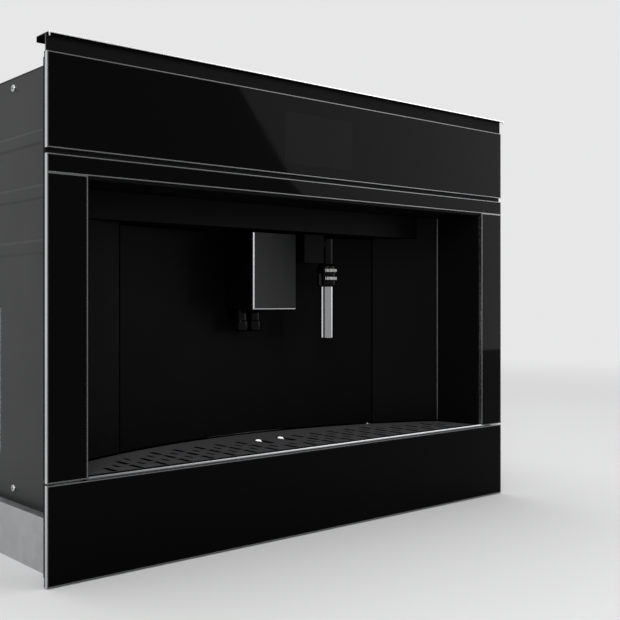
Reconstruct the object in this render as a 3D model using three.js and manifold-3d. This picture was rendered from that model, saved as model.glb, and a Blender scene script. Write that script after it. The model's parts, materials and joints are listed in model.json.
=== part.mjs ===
// A built-in coffee machine: a glass front around a curved recess, on pull-out cabinet rails.
//
// Millimetres, +Z up. The front faces -Y and +X is to the right of someone who looks at it.
// Inside the model, X = 0 is the middle, Y = 0 is the glass front and Z = 0 is the bottom edge of
// the drawer front. At the end everything is moved so that the origin is the middle of the
// underside.

import * as THREE from "three";
import { mergeVertices } from "three/addons/utils/BufferGeometryUtils.js";
import Module from "manifold-3d";

const wasm = await Module();
wasm.setup();

// ---------------------------------------------------------------- driving dimensions

// Cabinet and general build
const NICHE_WIDTH = 560; // clear width between the cabinet sides
const NICHE_PLAY = 1; // between a cabinet side and the rail bracket
const FLOOR_LIFT = 1; // the drawer front stands this far above the niche floor
const BODY_DEPTH = 390; // front frame to rear panel
const SHEET = 1.2; // chassis and recess sheet metal
const GAP = 0.3; // left between pieces that bear on or slide in each other
const PAST = 1; // a cutting shape reaches this far past what it cuts

// Front
const FRONT_OVERLAP = 17.5; // front beyond the niche, each side
const DRAWER_FRONT_HEIGHT = 83.7;
const PANEL_GAP = 1.5; // shadow gap above the drawer front
const RECESS_HEIGHT = 255.3; // also the height of the posts
const CROSSBAR_HEIGHT = 15.8;
const CONTROL_GAP = 4.6; // shadow gap between crossbar and control panel
const CONTROL_HEIGHT = 79.1;
const GRIP_HEIGHT = 15; // groove and lip above the control panel
const GRIP_LIP = 4; // the lip stands this far in front of the glass
const GRIP_SHEET = 1.5;
const GRIP_RECESS = 1.5; // the groove's face lies this far behind the glass front
const GLASS = 4; // thickness of the front glasses
const EDGE = 1; // stainless edge around each glass
const FRAME_SHEET = 1.5; // back of the front frame
const FASCIA_DEPTH = 20; // glass front to the cabinet's front edges
const RETURN_INSET = 6; // frame returns behind the glass edges
const LIP_WIDTH = 10; // flange that bears on the cabinet's front edges
const DISPLAY_WIDTH = 92.5;
const DISPLAY_HEIGHT = 51;
const DISPLAY_DEPTH = 8;
const DISPLAY_DROP = 3; // display's middle below the middle of its panel
const BOARD_WIDTH = 210; // control board behind the display
const BOARD_HEIGHT = 60;
const BOARD = 1.6; // thickness of a circuit board
const PLUG_WIDTH = 28; // ribbon plug on the control board
const PLUG_HEIGHT = 10;
const PLUG_DEPTH = 6;

// Recess
const ARC_RADIUS = 525; // curved rear wall, seen from above
const RECESS_DEPTH = 125; // glass front to the deepest point of the rear wall
const RECESS_TAPER = 10.7; // each side wall leans inwards by this much up to its corner
const CEILING_DROP = 2.5; // ceiling below the crossbar's lower edge
const HEADER_DEPTH = 74; // glass front to the header band over the door
const HEADER_HEIGHT = 26;
const LAMP_X = 165;
const LAMP_Y = 40;
const LAMP_RADIUS = 9;
const LAMP_FLANGE = 3; // flange around the lens, above the ceiling

// Service door
const DOOR_WIDTH = 346;
const DOOR_MIDDLE = -3; // the door's middle, left of the machine's middle
const DOOR_THICKNESS = 8;
const DOOR_GAP = 1.6; // beside the door
const DOOR_CLEARANCE = 2.4; // above the door
const DOOR_REBATE = 4; // door's top edge in front of the fold that hangs behind it
const DOOR_PIN_RADIUS = 1.5;
const DOOR_PIN_INSET = 3; // pin axis from the door's edge and from its front face
const DOOR_PIN_LENGTH = 7; // pin that stands in the door

// Drip drawer
const RIM_PROUD = 0.5; // tray rim in front of the glass
const RIM_DEPTH = 8;
const RIM_STEP = 1.8; // tray rim's top above the posts' lower edge
const GRILLE = 1.5; // thickness of the cup grille
const GRILLE_DROP = 1; // grille's top below the tray rim's top
const GRILLE_CLEARANCE = 1.5; // between the grille and the recess walls
const SLOT_LENGTH = 19.5;
const SLOT_WIDTH = 3;
const SMALL_SLOT_LENGTH = 13; // in every second row
const SMALL_SLOT_WIDTH = 2;
const SLOT_PITCH_X = 26;
const SLOT_PITCH_Y = 12.5; // between rows; every second row is shifted by half a pitch
const SLOT_ROWS = 5;
const SLOT_OFFSET = 7.5; // the column of slots nearest to the middle
const SLOT_MARGIN = 15; // from a slot's end to the grille's edge
const FIRST_SLOT_ROW = 24; // middle of the first row behind the glass front
const BIG_SLOT_LENGTH = 28.5;
const BIG_SLOT_WIDTH = 4.5;
const BIG_SLOT_SPREAD = 30.5; // between the two large slots
const BIG_SLOT_OFFSET = -3.5; // middle between them
const BIG_SLOT_FRONT = 54;
const MOULDING = 2; // plastic wall of tray, container and hopper
const CONTAINER_WIDTH = 160;
const CONTAINER_DEPTH = 115;
const CRADLE_HEIGHT = 14;
const FLOAT_HEIGHT = 22;
const FLOAT_DEPTH = 17.6; // front to back
const FLOAT_TIP = 3.8; // width of the float's two indicator tips

// Coffee spout
const SPOUT_WIDTH = 59;
const SPOUT_HEIGHT = 82;
const SPOUT_REACH = 52; // recess wall to the spout's front
const SPOUT_TRAVEL = 50;
const SPOUT_PLATE = 3;
const SPOUT_WALL = 2.2;
const SPOUT_DROP = 1.6; // spout's top below the door's top
const RAIL_HEAD = 20; // half width of the spout rail's head
const RAIL_STEM = 15; // half width of its stem
const RAIL_PLATE = 2.4; // thickness of head and of stem
const NOZZLE_SPREAD = 18; // between the two nozzles
const NOZZLE_MIDDLE = -10; // middle between them
const NOZZLE_RADIUS = 7.2;
const NOZZLE_RING = 8.6; // radius of the ring around each nozzle's lower half
const NOZZLE_LENGTH = 24; // below the spout housing
const NOZZLE_BORE = 3;
const MANIFOLD = 6; // thickness of the piece that joins the nozzles
const DUCT_RADIUS = 5;
const DUCT_BORE = 3;
const DUCT_REACH = 21; // recess wall to the middle of the upright duct
const SLIDE_WALL = 2; // wall of the sleeve that slides on the duct

// Steam wand
const WAND_X = 85.6;
const WAND_REACH = 41; // recess wall (at X = 0) to the wand's middle
const WAND_RADIUS = 8;
const WAND_PIPE = 3.5; // radius of the pipe inside the sleeve
const WAND_BORE = 1.5;
const WAND_PIVOT_DROP = 9.6; // tilt axis below the door's top
const WAND_TOP = 8; // tube above the tilt axis
const TRUNNION_RADIUS = 4;
const TRUNNION_LENGTH = 10; // in the mount
const COLLAR_RADIUS = 11.5;
const COLLAR_LENGTH = 25.5;
const COLLAR_DROP = 22.6; // collar's top below the tilt axis
const SLEEVE_LENGTH = 59.5;
const MOUNT_INNER_X = 45; // left side of the steam mount
const MOUNT_HEIGHT = 32;
const MOUNT_REACH = 49; // recess wall (at X = 0) to the mount's front

// Cabinet rails
const BRACKET = 2; // wall of the cabinet rail
const RAIL_HEIGHT = 45;
const RAIL_DEPTH = 13; // bracket wall to side panel
const RAIL_SHEET = 1.5;
const RAIL_LIFT = 3; // rail above the niche floor
const FOOT_WIDTH = 24;
const FOOT = 2; // thickness of the foot
const RAIL_START = 22; // rails start this far behind the glass front
const RAIL_END = 1.8; // rails end this far in front of the chassis's back edge
const BASE_LIFT = 5; // chassis underside above the drawer front's lower edge
const BASE_SHEET = 1.5;
const BASE_FLANGE = 15;

// Brew unit
const BREW_SETBACK = 7; // brew unit behind the service door
const BREW_WIDTH = 110;
const BREW_DEPTH = 105;
const BREW_WALL = 4;
const BREW_DECK = 8; // its base and top
const BREW_HEADROOM = 15; // top of the brew unit below the upper shelf
const CHAMBER_RADIUS = 30;
const CHAMBER_BORE = 24;
const CHAMBER_HEIGHT = 60;
const CHAMBER_TRAVEL = 55;
const CHAMBER_LIFT = 12; // chamber's lower end above the base
const CHAMBER_SETBACK = 45; // chamber's middle behind the unit's front
const SCREW_RADIUS = 5;
const SCREW_SETBACK = 88;
const LUG_REACH = 9; // chamber's lug behind the screw's axis
const PISTON_OVERLAP = 6; // piston in the raised chamber
const BUTTON_RADIUS = 7;
const BUTTON_STROKE = 4;
const BUTTON_LENGTH = 12;
const BUTTON_SETBACK = 16;
const BUTTON_LIFT = 120;
const CHUTE_RADIUS = 9;

// Grinder and bean hopper
const SHELF_DROP = 9.6; // upper shelf's underside below the door's top
const GRINDER_RADIUS = 45;
const GRINDER_HEIGHT = 92;
const GRINDER_SETBACK = 62; // grinder's middle behind the brew unit's front
const GRIND_ROOM = 36; // radius of the burr space
const GRIND_ROOM_DEPTH = 52;
const BURR_HOLE = 20; // hole in the upper burr
const UPPER_BURR_HEIGHT = 20;
const LOWER_BURR_RADIUS = 32;
const LOWER_BURR_HEIGHT = 26;
const BURR_SHAFT_RADIUS = 5;
const BURR_SHAFT_LENGTH = 28;
const HOPPER_LEFT = 108; // hopper's reach left and right of the grinder's middle
const HOPPER_RIGHT = 52;
const HOPPER_DEPTH = 164;
const LID_GRIP = 6; // width of the ridge that lifts the hopper lid
const LID_GRIP_INSET = 20;
const KNOB_RADIUS = 14;
const KNOB_HEIGHT = 20;
const KNOB_X = 72;

// Water tank
const TANK_WIDTH = 102;
const TANK_HEIGHT = 140;
const TANK_SETBACK = 32; // tank behind the brew unit's front
const TANK_WALL = 2.5;
const TANK_LID_WIDTH = 56;
const TANK_GRIP = 60; // width of the finger recess
const TANK_GRIP_HEIGHT = 25;
const TANK_GRIP_DEPTH = 15;
const TANK_GRIP_DROP = 10; // finger recess below the tank's deck
const TANK_BACK_ROOM = 6; // behind the tank
const WINDOW_PLAY = 0.8; // around the tank in the side panel

// Heater, pump and electrics
const BOILER_WIDTH = 80;
const BOILER_DEPTH = 78;
const BOILER_HEIGHT = 96;
const BOILER_INSET = 17.5; // thermoblock from the right side panel
const FIN_COUNT = 5;
const FIN_SLOT = 5;
const PUMP_X = 120;
const PUMP_RADIUS = 11;
const PUMP_LENGTH = 92;
const COIL_SIZE = 44;
const COIL_LENGTH = 40;
const POWER_BOARD_WIDTH = 170;
const POWER_BOARD_HEIGHT = 112;
const POWER_BOARD_ROOM = 40; // from the board's face to the rear panel
const POWER_BOARD_INSET = 8; // from the board's end to the side panel
const POWER_BOARD_FOOT = 16; // depth of the board's foot
const COIL_BLOCK = 40; // transformer on the board: width and height
const COIL_BLOCK_DEPTH = 32;
const CAPACITOR_RADIUS = 8;
const CAPACITOR_LENGTH = 24;
const RELAY_WIDTH = 48;
const RELAY_HEIGHT = 16;
const INLET_X = 190;
const INLET_Z = 330;
const INLET_WIDTH = 60;
const INLET_HEIGHT = 28;
const INLET_DEPTH = 24;
const SWITCH_WIDTH = 14;
const SWITCH_HEIGHT = 21;
const SWITCH_TILT = 7; // degrees either side of level
const ROCKER_SEAT = 4.8; // the rocker's axis in front of the moulding's back
const VENT_COUNT = 9;
const VENT_WIDTH = 4;
const VENT_HEIGHT = 60;
const VENT_PITCH = 12;

// ---------------------------------------------------------------- finishes

const FINISH = {
  blackGlass: [0x050506, 0.06, 0.0],
  stainless: [0xb9bcc0, 0.28, 1.0],
  brushedSteel: [0x8f9296, 0.38, 1.0],
  chrome: [0xd8dadd, 0.08, 1.0],
  blackMetal: [0x151517, 0.5, 0.4],
  darkSheet: [0x2a2b2d, 0.5, 0.3],
  grilleMetal: [0x3a3b3e, 0.42, 0.9],
  zincSheet: [0x9a9da1, 0.5, 0.9],
  blackPlastic: [0x0e0e0f, 0.55, 0.0],
  glossPlastic: [0x09090a, 0.15, 0.0],
  greyPlastic: [0x4a4c50, 0.6, 0.0],
  whitePlastic: [0xe6e6e3, 0.4, 0.0],
  orangePlastic: [0xc8501e, 0.45, 0.0],
  clearPlastic: [0x9fa8ae, 0.12, 0.0],
  lampLens: [0x18181a, 0.2, 0.0],
  aluminium: [0xb4b6b9, 0.45, 1.0],
  board: [0x1d4a33, 0.55, 0.0],
};

// ---------------------------------------------------------------- solids from three.js shapes

function solid(geometry) {
  geometry.deleteAttribute("normal");
  geometry.deleteAttribute("uv");
  const merged = mergeVertices(geometry, 1e-3);
  return new wasm.Manifold(
    new wasm.Mesh({
      numProp: 3,
      vertProperties: new Float32Array(merged.attributes.position.array),
      triVerts: new Uint32Array(merged.index.array),
    }),
  );
}

function geometryOf(shape) {
  const mesh = shape.getMesh();
  const geometry = new THREE.BufferGeometry();
  geometry.setAttribute("position", new THREE.BufferAttribute(mesh.vertProperties, 3));
  geometry.setIndex(new THREE.BufferAttribute(mesh.triVerts, 1));
  const faceted = geometry.toNonIndexed();
  faceted.computeVertexNormals();
  return faceted;
}

const join = (first, ...others) => others.reduce((whole, other) => whole.add(other), first);
const cut = (first, ...others) => others.reduce((rest, other) => rest.subtract(other), first);

// A box from its three spans, each [low, high].
function block([x0, x1], [y0, y1], [z0, z1]) {
  const geometry = new THREE.BoxGeometry(x1 - x0, y1 - y0, z1 - z0);
  return solid(geometry.translate((x0 + x1) / 2, (y0 + y1) / 2, (z0 + z1) / 2));
}

const outline = (points) => new THREE.Shape(points.map(([a, b]) => new THREE.Vector2(a, b)));

// An outline seen from above, [x, y] points, between two heights.
function upright(points, [z0, z1]) {
  const geometry = new THREE.ExtrudeGeometry(outline(points), { depth: z1 - z0, bevelEnabled: false });
  return solid(geometry.translate(0, 0, z0));
}

// A cross-section of [x, z] points, drawn out along Y.
function alongY(points, [y0, y1]) {
  const geometry = new THREE.ExtrudeGeometry(outline(points), { depth: y1 - y0, bevelEnabled: false });
  return solid(geometry.rotateX(Math.PI / 2).translate(0, y1, 0));
}

// A cross-section of [y, z] points, drawn out along X.
function alongX(points, [x0, x1]) {
  const geometry = new THREE.ExtrudeGeometry(outline(points), { depth: x1 - x0, bevelEnabled: false });
  return solid(geometry.rotateY(Math.PI / 2).rotateX(Math.PI / 2).translate(x0, 0, 0));
}

// A round bar, upright at [x, y] between two heights; its ends may differ in radius.
function post(radius, [x, y], [z0, z1], { sides = 24, topRadius = radius } = {}) {
  const geometry = new THREE.CylinderGeometry(topRadius, radius, z1 - z0, sides);
  return solid(geometry.rotateX(Math.PI / 2).translate(x, y, (z0 + z1) / 2));
}

// A round bar along X at [y, z], and one along Y at [x, z].
function barX(radius, [y, z], [x0, x1], sides = 16) {
  const geometry = new THREE.CylinderGeometry(radius, radius, x1 - x0, sides);
  return solid(geometry.rotateZ(Math.PI / 2).translate((x0 + x1) / 2, y, z));
}

function barY(radius, [x, z], [y0, y1], sides = 16) {
  const geometry = new THREE.CylinderGeometry(radius, radius, y1 - y0, sides);
  return solid(geometry.translate(x, (y0 + y1) / 2, z));
}

// A block whose floor and top differ: each is [x0, x1, y0, y1].
function taper([a0, a1, b0, b1], [c0, c1, d0, d1], [z0, z1]) {
  const corners = [
    [a0, b0, z0], [a1, b0, z0], [a1, b1, z0], [a0, b1, z0],
    [c0, d0, z1], [c1, d0, z1], [c1, d1, z1], [c0, d1, z1],
  ];
  const faces = [
    [0, 2, 1], [0, 3, 2], [4, 5, 6], [4, 6, 7], [0, 1, 5], [0, 5, 4],
    [1, 2, 6], [1, 6, 5], [2, 3, 7], [2, 7, 6], [3, 0, 4], [3, 4, 7],
  ];
  const geometry = new THREE.BufferGeometry();
  geometry.setAttribute("position", new THREE.Float32BufferAttribute(corners.flat(), 3));
  geometry.setIndex(faces.flat());
  return solid(geometry);
}

const span = (halfWidth, middle = 0) => [middle - halfWidth, middle + halfWidth];
const past = ([low, high]) => [low - PAST, high + PAST];
const opposite = ([low, high]) => [-high, -low];
const mirrored = (points) => points.map(([x, y]) => [-x, y]);

function add(group, name, shape, finish) {
  const [color, roughness, metalness] = FINISH[finish];
  const material = new THREE.MeshStandardMaterial({ color, roughness, metalness });
  const mesh = new THREE.Mesh(geometryOf(shape), material);
  mesh.name = name;
  group.add(mesh);
  return mesh;
}

// A right-hand piece, and its mirror image on the left.
function addPair(group, name, shape, finish) {
  add(group, "right_" + name, shape, finish);
  add(group, "left_" + name, shape.mirror([1, 0, 0]), finish);
}

// ---------------------------------------------------------------- places worked out from the sizes

// Across: the cabinet rails, the side panels and the recess follow one another inwards.
const frontHalf = NICHE_WIDTH / 2 + FRONT_OVERLAP;
const bracketOuter = NICHE_WIDTH / 2 - NICHE_PLAY;
const bracketInner = bracketOuter - BRACKET;
const innerRailWeb = bracketInner - RAIL_DEPTH;
const sideOuter = innerRailWeb - GAP;
const sideInner = sideOuter - SHEET;
const recessOuter = sideInner - 2 * GAP;
const recessHalf = recessOuter - SHEET;
const cornerHalf = recessHalf - RECESS_TAPER;

// Up: the front's panels stand on one another.
const recessBottom = DRAWER_FRONT_HEIGHT + PANEL_GAP;
const recessTop = recessBottom + RECESS_HEIGHT;
const crossbarTop = recessTop + CROSSBAR_HEIGHT;
const controlBottom = crossbarTop + CONTROL_GAP;
const controlTop = controlBottom + CONTROL_HEIGHT;
const frontTop = controlTop + GRIP_HEIGHT;
const bodyTop = frontTop - GRIP_HEIGHT / 2;
const rimTop = recessBottom + RIM_STEP;
const grilleTop = rimTop - GRILLE_DROP;
const grilleBottom = grilleTop - GRILLE;
const trayTop = grilleBottom - GAP;
const baseTop = BASE_LIFT + BASE_SHEET;
const trayBottom = baseTop + GAP;
const floorBottom = trayTop + GAP; // inner floor, behind the recess
const floorTop = floorBottom + BASE_SHEET;
const doorBottom = rimTop + 2 * GAP;
const ceiling = recessTop - CEILING_DROP;
const headerBottom = ceiling - HEADER_HEIGHT;
const doorTop = headerBottom - DOOR_CLEARANCE;
const shelfBottom = doorTop - SHELF_DROP;
const shelfTop = shelfBottom + BASE_SHEET;

// Back: glass, front frame, chassis, rear panel.
const frameBack = GLASS + GAP + FRAME_SHEET;
const chassisFront = frameBack + GAP;
const rearFront = chassisFront + BODY_DEPTH;
const chassisBack = rearFront - GAP;
const rearBack = rearFront + SHEET;
const innerFront = RECESS_DEPTH + DOOR_THICKNESS + BREW_SETBACK;
const railSpan = [RAIL_START, chassisBack - RAIL_END];

// The curved rear wall, seen from above.
const arcMiddle = RECESS_DEPTH - ARC_RADIUS;
const arcY = (x, radius = ARC_RADIUS) => arcMiddle + Math.sqrt(radius * radius - x * x);
const arcX = (y, radius = ARC_RADIUS) => Math.sqrt(radius ** 2 - (y - arcMiddle) ** 2);

function arcPoints(fromX, toX, radius, steps) {
  return Array.from({ length: steps + 1 }, (_, i) => {
    const x = fromX + ((toX - fromX) * i) / steps;
    return [x, arcY(x, radius)];
  });
}

// ---------------------------------------------------------------- front

// A shallow tray that edges one glass, and the glass that lies in it.
function glassTray([x0, x1], [z0, z1]) {
  const whole = block([x0, x1], [0, frameBack], [z0, z1]);
  const pocket = block([x0 + EDGE, x1 - EDGE], [-PAST, GLASS + GAP], [z0 + EDGE, z1 - EDGE]);
  return cut(whole, pocket);
}

function glassIn([x0, x1], [z0, z1]) {
  const play = EDGE + GAP;
  return block([x0 + play, x1 - play], [0, GLASS], [z0 + play, z1 - play]);
}

const displaySpan = span(DISPLAY_WIDTH / 2);
const displayMiddle = (controlBottom + controlTop) / 2 - DISPLAY_DROP;
const displayRise = span(DISPLAY_HEIGHT / 2, displayMiddle);

function frontPanels() {
  const group = new THREE.Group();
  const across = [-frontHalf, frontHalf];
  const leftPost = [-frontHalf, -recessHalf];
  const rightPost = [recessHalf, frontHalf];
  const postRise = [recessBottom, recessTop];
  const crossbarRise = [recessTop, crossbarTop];
  const controlRise = [controlBottom, controlTop];

  const returnOuter = frontHalf - RETURN_INSET;
  const returnWall = [returnOuter - SHEET, returnOuter];
  const returnLip = [returnOuter - LIP_WIDTH, returnOuter];
  const returnRise = [recessBottom, controlTop - EDGE];
  const returns = [
    block(returnWall, [frameBack - EDGE, FASCIA_DEPTH], returnRise),
    block(returnLip, [FASCIA_DEPTH - SHEET, FASCIA_DEPTH], returnRise),
    block(opposite(returnWall), [frameBack - EDGE, FASCIA_DEPTH], returnRise),
    block(opposite(returnLip), [FASCIA_DEPTH - SHEET, FASCIA_DEPTH], returnRise),
  ];
  const web = block(span(returnOuter), [GLASS + GAP, frameBack], [ceiling, controlBottom + EDGE]);
  const window = block(
    [displaySpan[0] - GAP, displaySpan[1] + GAP],
    [0, frameBack + PAST],
    [displayRise[0] - GAP, displayRise[1] + GAP],
  );
  const frame = join(
    glassTray(across, controlRise),
    glassTray(across, crossbarRise),
    glassTray(leftPost, postRise),
    glassTray(rightPost, postRise),
    web,
    ...returns,
  );
  add(group, "front_frame", cut(frame, window), "stainless");
  add(group, "control_panel_glass", glassIn(across, controlRise), "blackGlass");
  add(group, "crossbar_glass", glassIn(across, crossbarRise), "blackGlass");
  add(group, "left_post_glass", glassIn(leftPost, postRise), "blackGlass");
  add(group, "right_post_glass", glassIn(rightPost, postRise), "blackGlass");

  const lip = block(across, [-GRIP_LIP, FASCIA_DEPTH], [frontTop - GRIP_SHEET, frontTop]);
  const face = block(
    across,
    [GRIP_RECESS, GRIP_RECESS + GRIP_SHEET],
    [controlTop + GAP, frontTop - GRIP_SHEET / 2],
  );
  const hook = block(
    across,
    [FASCIA_DEPTH - GRIP_SHEET, FASCIA_DEPTH],
    [bodyTop + 2 * SHEET, frontTop - GRIP_SHEET / 2],
  );
  add(group, "grip_strip", join(lip, face, hook), "stainless");

  const panel = block(displaySpan, [GLASS + GAP, GLASS + GAP + DISPLAY_DEPTH], displayRise);
  const boardFront = GLASS + GAP + DISPLAY_DEPTH;
  const boardBack = boardFront + BOARD;
  const board = block(
    span(BOARD_WIDTH / 2),
    [boardFront - GAP, boardBack],
    span(BOARD_HEIGHT / 2, displayMiddle),
  );
  const plug = block(
    span(PLUG_WIDTH / 2, BOARD_WIDTH / 3),
    [boardBack - GAP, boardBack + PLUG_DEPTH],
    span(PLUG_HEIGHT / 2, displayMiddle),
  );
  add(group, "display_module", join(panel, board, plug), "board");
  return group;
}

// ---------------------------------------------------------------- cabinet rails

// Three C-sections nest in one another; this is the right-hand one, mirrored for the left.
function channel([x0, x1], [z0, z1], sheet, opensInwards) {
  const web = opensInwards ? [x1 - sheet, x1] : [x0, x0 + sheet];
  const inside = opensInwards ? [x0 - PAST, web[0]] : [web[1], x1 + PAST];
  const room = block(inside, past(railSpan), [z0 + sheet, z1 - sheet]);
  return cut(block([x0, x1], railSpan, [z0, z1]), room);
}

function rails() {
  const cabinet = new THREE.Group();
  const middle = new THREE.Group();
  const inner = new THREE.Group();
  const floor = -FLOOR_LIFT;
  const outerRise = [floor + RAIL_LIFT, floor + RAIL_LIFT + RAIL_HEIGHT];
  const step = RAIL_SHEET + GAP;
  const midRise = [outerRise[0] + step, outerRise[1] - step];
  const innerRise = [midRise[0] + step, midRise[1] - step];
  const lipInner = bracketInner - 0.6 * RAIL_DEPTH;

  const bracket = join(
    block([bracketInner, bracketOuter], railSpan, [floor, outerRise[1]]),
    block([bracketOuter - FOOT_WIDTH, bracketOuter], railSpan, [floor, floor + FOOT]),
    channel([lipInner, bracketOuter], outerRise, RAIL_SHEET, true),
  );
  const mid = channel([lipInner - RAIL_SHEET, bracketInner - GAP], midRise, RAIL_SHEET, true);
  const innerReach = bracketInner - GAP - RAIL_SHEET - GAP;
  const slide = channel([innerRailWeb, innerReach], innerRise, RAIL_SHEET, false);

  addPair(cabinet, "cabinet_rail", bracket, "zincSheet");
  addPair(middle, "mid_rail", mid, "zincSheet");
  addPair(inner, "inner_rail", slide, "zincSheet");
  return [cabinet, middle, inner];
}

// ---------------------------------------------------------------- water tank's place

const tankSpan = [-sideOuter, -sideOuter + TANK_WIDTH];
const tankFront = innerFront + TANK_SETBACK;
const tankDepth = [tankFront, chassisBack - TANK_BACK_ROOM];
const tankRise = [floorTop + GAP, floorTop + GAP + TANK_HEIGHT];
const tankLidTop = tankRise[1] + GAP + TANK_WALL;

// ---------------------------------------------------------------- grinder's place

const grinderAt = [0, innerFront + GRINDER_SETBACK];
const grinderRise = [shelfTop + GAP, shelfTop + GAP + GRINDER_HEIGHT];
const hopperSpan = [-HOPPER_LEFT, HOPPER_RIGHT];
const hopperDepth = span(HOPPER_DEPTH / 2, grinderAt[1]);
const hopperRise = [grinderRise[1] + GAP, bodyTop - SHEET - GAP];
const lidSpan = [hopperSpan[0] - MOULDING, KNOB_X + KNOB_RADIUS + MOULDING];
const lidDepth = [hopperDepth[0] - MOULDING, hopperDepth[1] + MOULDING];

// ---------------------------------------------------------------- chassis

function ventSlots(middle, [y0, y1], low) {
  const first = middle - ((VENT_COUNT - 1) * VENT_PITCH) / 2;
  return Array.from({ length: VENT_COUNT }, (_, i) =>
    block(span(VENT_WIDTH / 2, first + i * VENT_PITCH), past([y0, y1]), [low, low + VENT_HEIGHT]),
  );
}

const inletSpan = span(INLET_WIDTH / 2, INLET_X);
const inletRise = span(INLET_HEIGHT / 2, INLET_Z);
const doorSpan = span(DOOR_WIDTH / 2, DOOR_MIDDLE);
const hingeX = doorSpan[1] - DOOR_PIN_INSET;
const hingeY = arcY(hingeX) + DOOR_PIN_INSET;

function chassis() {
  const group = new THREE.Group();
  const sideRise = [BASE_LIFT, bodyTop - SHEET - GAP];
  const length = [chassisFront, chassisBack];

  const flange = [sideInner - GAP - SHEET, sideInner - GAP];
  const baseDepth = [RAIL_START, chassisBack];
  const flangeRise = [BASE_LIFT, BASE_LIFT + BASE_FLANGE];
  const base = join(
    block(span(sideInner - GAP), baseDepth, [BASE_LIFT, baseTop]),
    block(flange, baseDepth, flangeRise),
    block(opposite(flange), baseDepth, flangeRise),
  );
  add(group, "base_plate", base, "zincSheet");

  const side = [sideInner, sideOuter];
  const tankWindow = block(
    past([-sideOuter, -sideInner]),
    [tankDepth[0] - WINDOW_PLAY, tankDepth[1] + WINDOW_PLAY],
    [tankRise[0] - GAP, tankLidTop + WINDOW_PLAY],
  );
  add(group, "right_side_panel", block(side, length, sideRise), "darkSheet");
  add(group, "left_side_panel", cut(block(opposite(side), length, sideRise), tankWindow), "darkSheet");

  const rear = block(span(sideOuter), [rearFront, rearBack], sideRise);
  const inletHole = block(
    [inletSpan[0] - GAP, inletSpan[1] + GAP],
    past([rearFront, rearBack]),
    [inletRise[0] - GAP, inletRise[1] + GAP],
  );
  const vents = ventSlots(-sideOuter / 2, [rearFront, rearBack], shelfTop + 2 * VENT_PITCH);
  add(group, "rear_panel", cut(rear, inletHole, ...vents), "darkSheet");

  const cover = block(span(sideOuter), [chassisFront, rearBack], [bodyTop - SHEET, bodyTop]);
  const lidHole = block(
    [lidSpan[0] - GAP, lidSpan[1] + GAP],
    [lidDepth[0] - GAP, lidDepth[1] + GAP],
    past([bodyTop - SHEET, bodyTop]),
  );
  add(group, "top_cover", cut(cover, lidHole), "darkSheet");

  // The inner floor carries the tank, the brew unit, the heater and the pump, and its tab the
  // lower door pin. Used coffee falls through its hole into the grounds container.
  const depth = [innerFront - 2 * GAP, chassisBack];
  const plate = block(span(sideInner - GAP), depth, [floorBottom, floorTop]);
  const tabReach = [hingeY - DOOR_PIN_RADIUS - GAP, depth[0] + PAST];
  const tab = block(span(3 * DOOR_PIN_RADIUS, hingeX), tabReach, [floorBottom, floorTop]);
  const lowerPin = post(DOOR_PIN_RADIUS, [hingeX, hingeY], [floorBottom, doorBottom + DOOR_PIN_LENGTH]);
  const groundsHole = block(
    span(BREW_WIDTH / 2 - 3 * BREW_WALL),
    [innerFront + BREW_WALL, innerFront + CHAMBER_SETBACK + CHAMBER_RADIUS],
    past([floorBottom, floorTop]),
  );
  add(group, "inner_floor", cut(join(plate, tab, lowerPin), groundsHole), "zincSheet");

  const shelf = block(span(sideInner - GAP), depth, [shelfBottom, shelfTop]);
  const chuteHole = post(CHUTE_RADIUS + SHEET, chuteAt, past([shelfBottom, shelfTop]));
  add(group, "upper_shelf", cut(shelf, chuteHole), "zincSheet");
  return group;
}

// ---------------------------------------------------------------- recess

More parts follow.
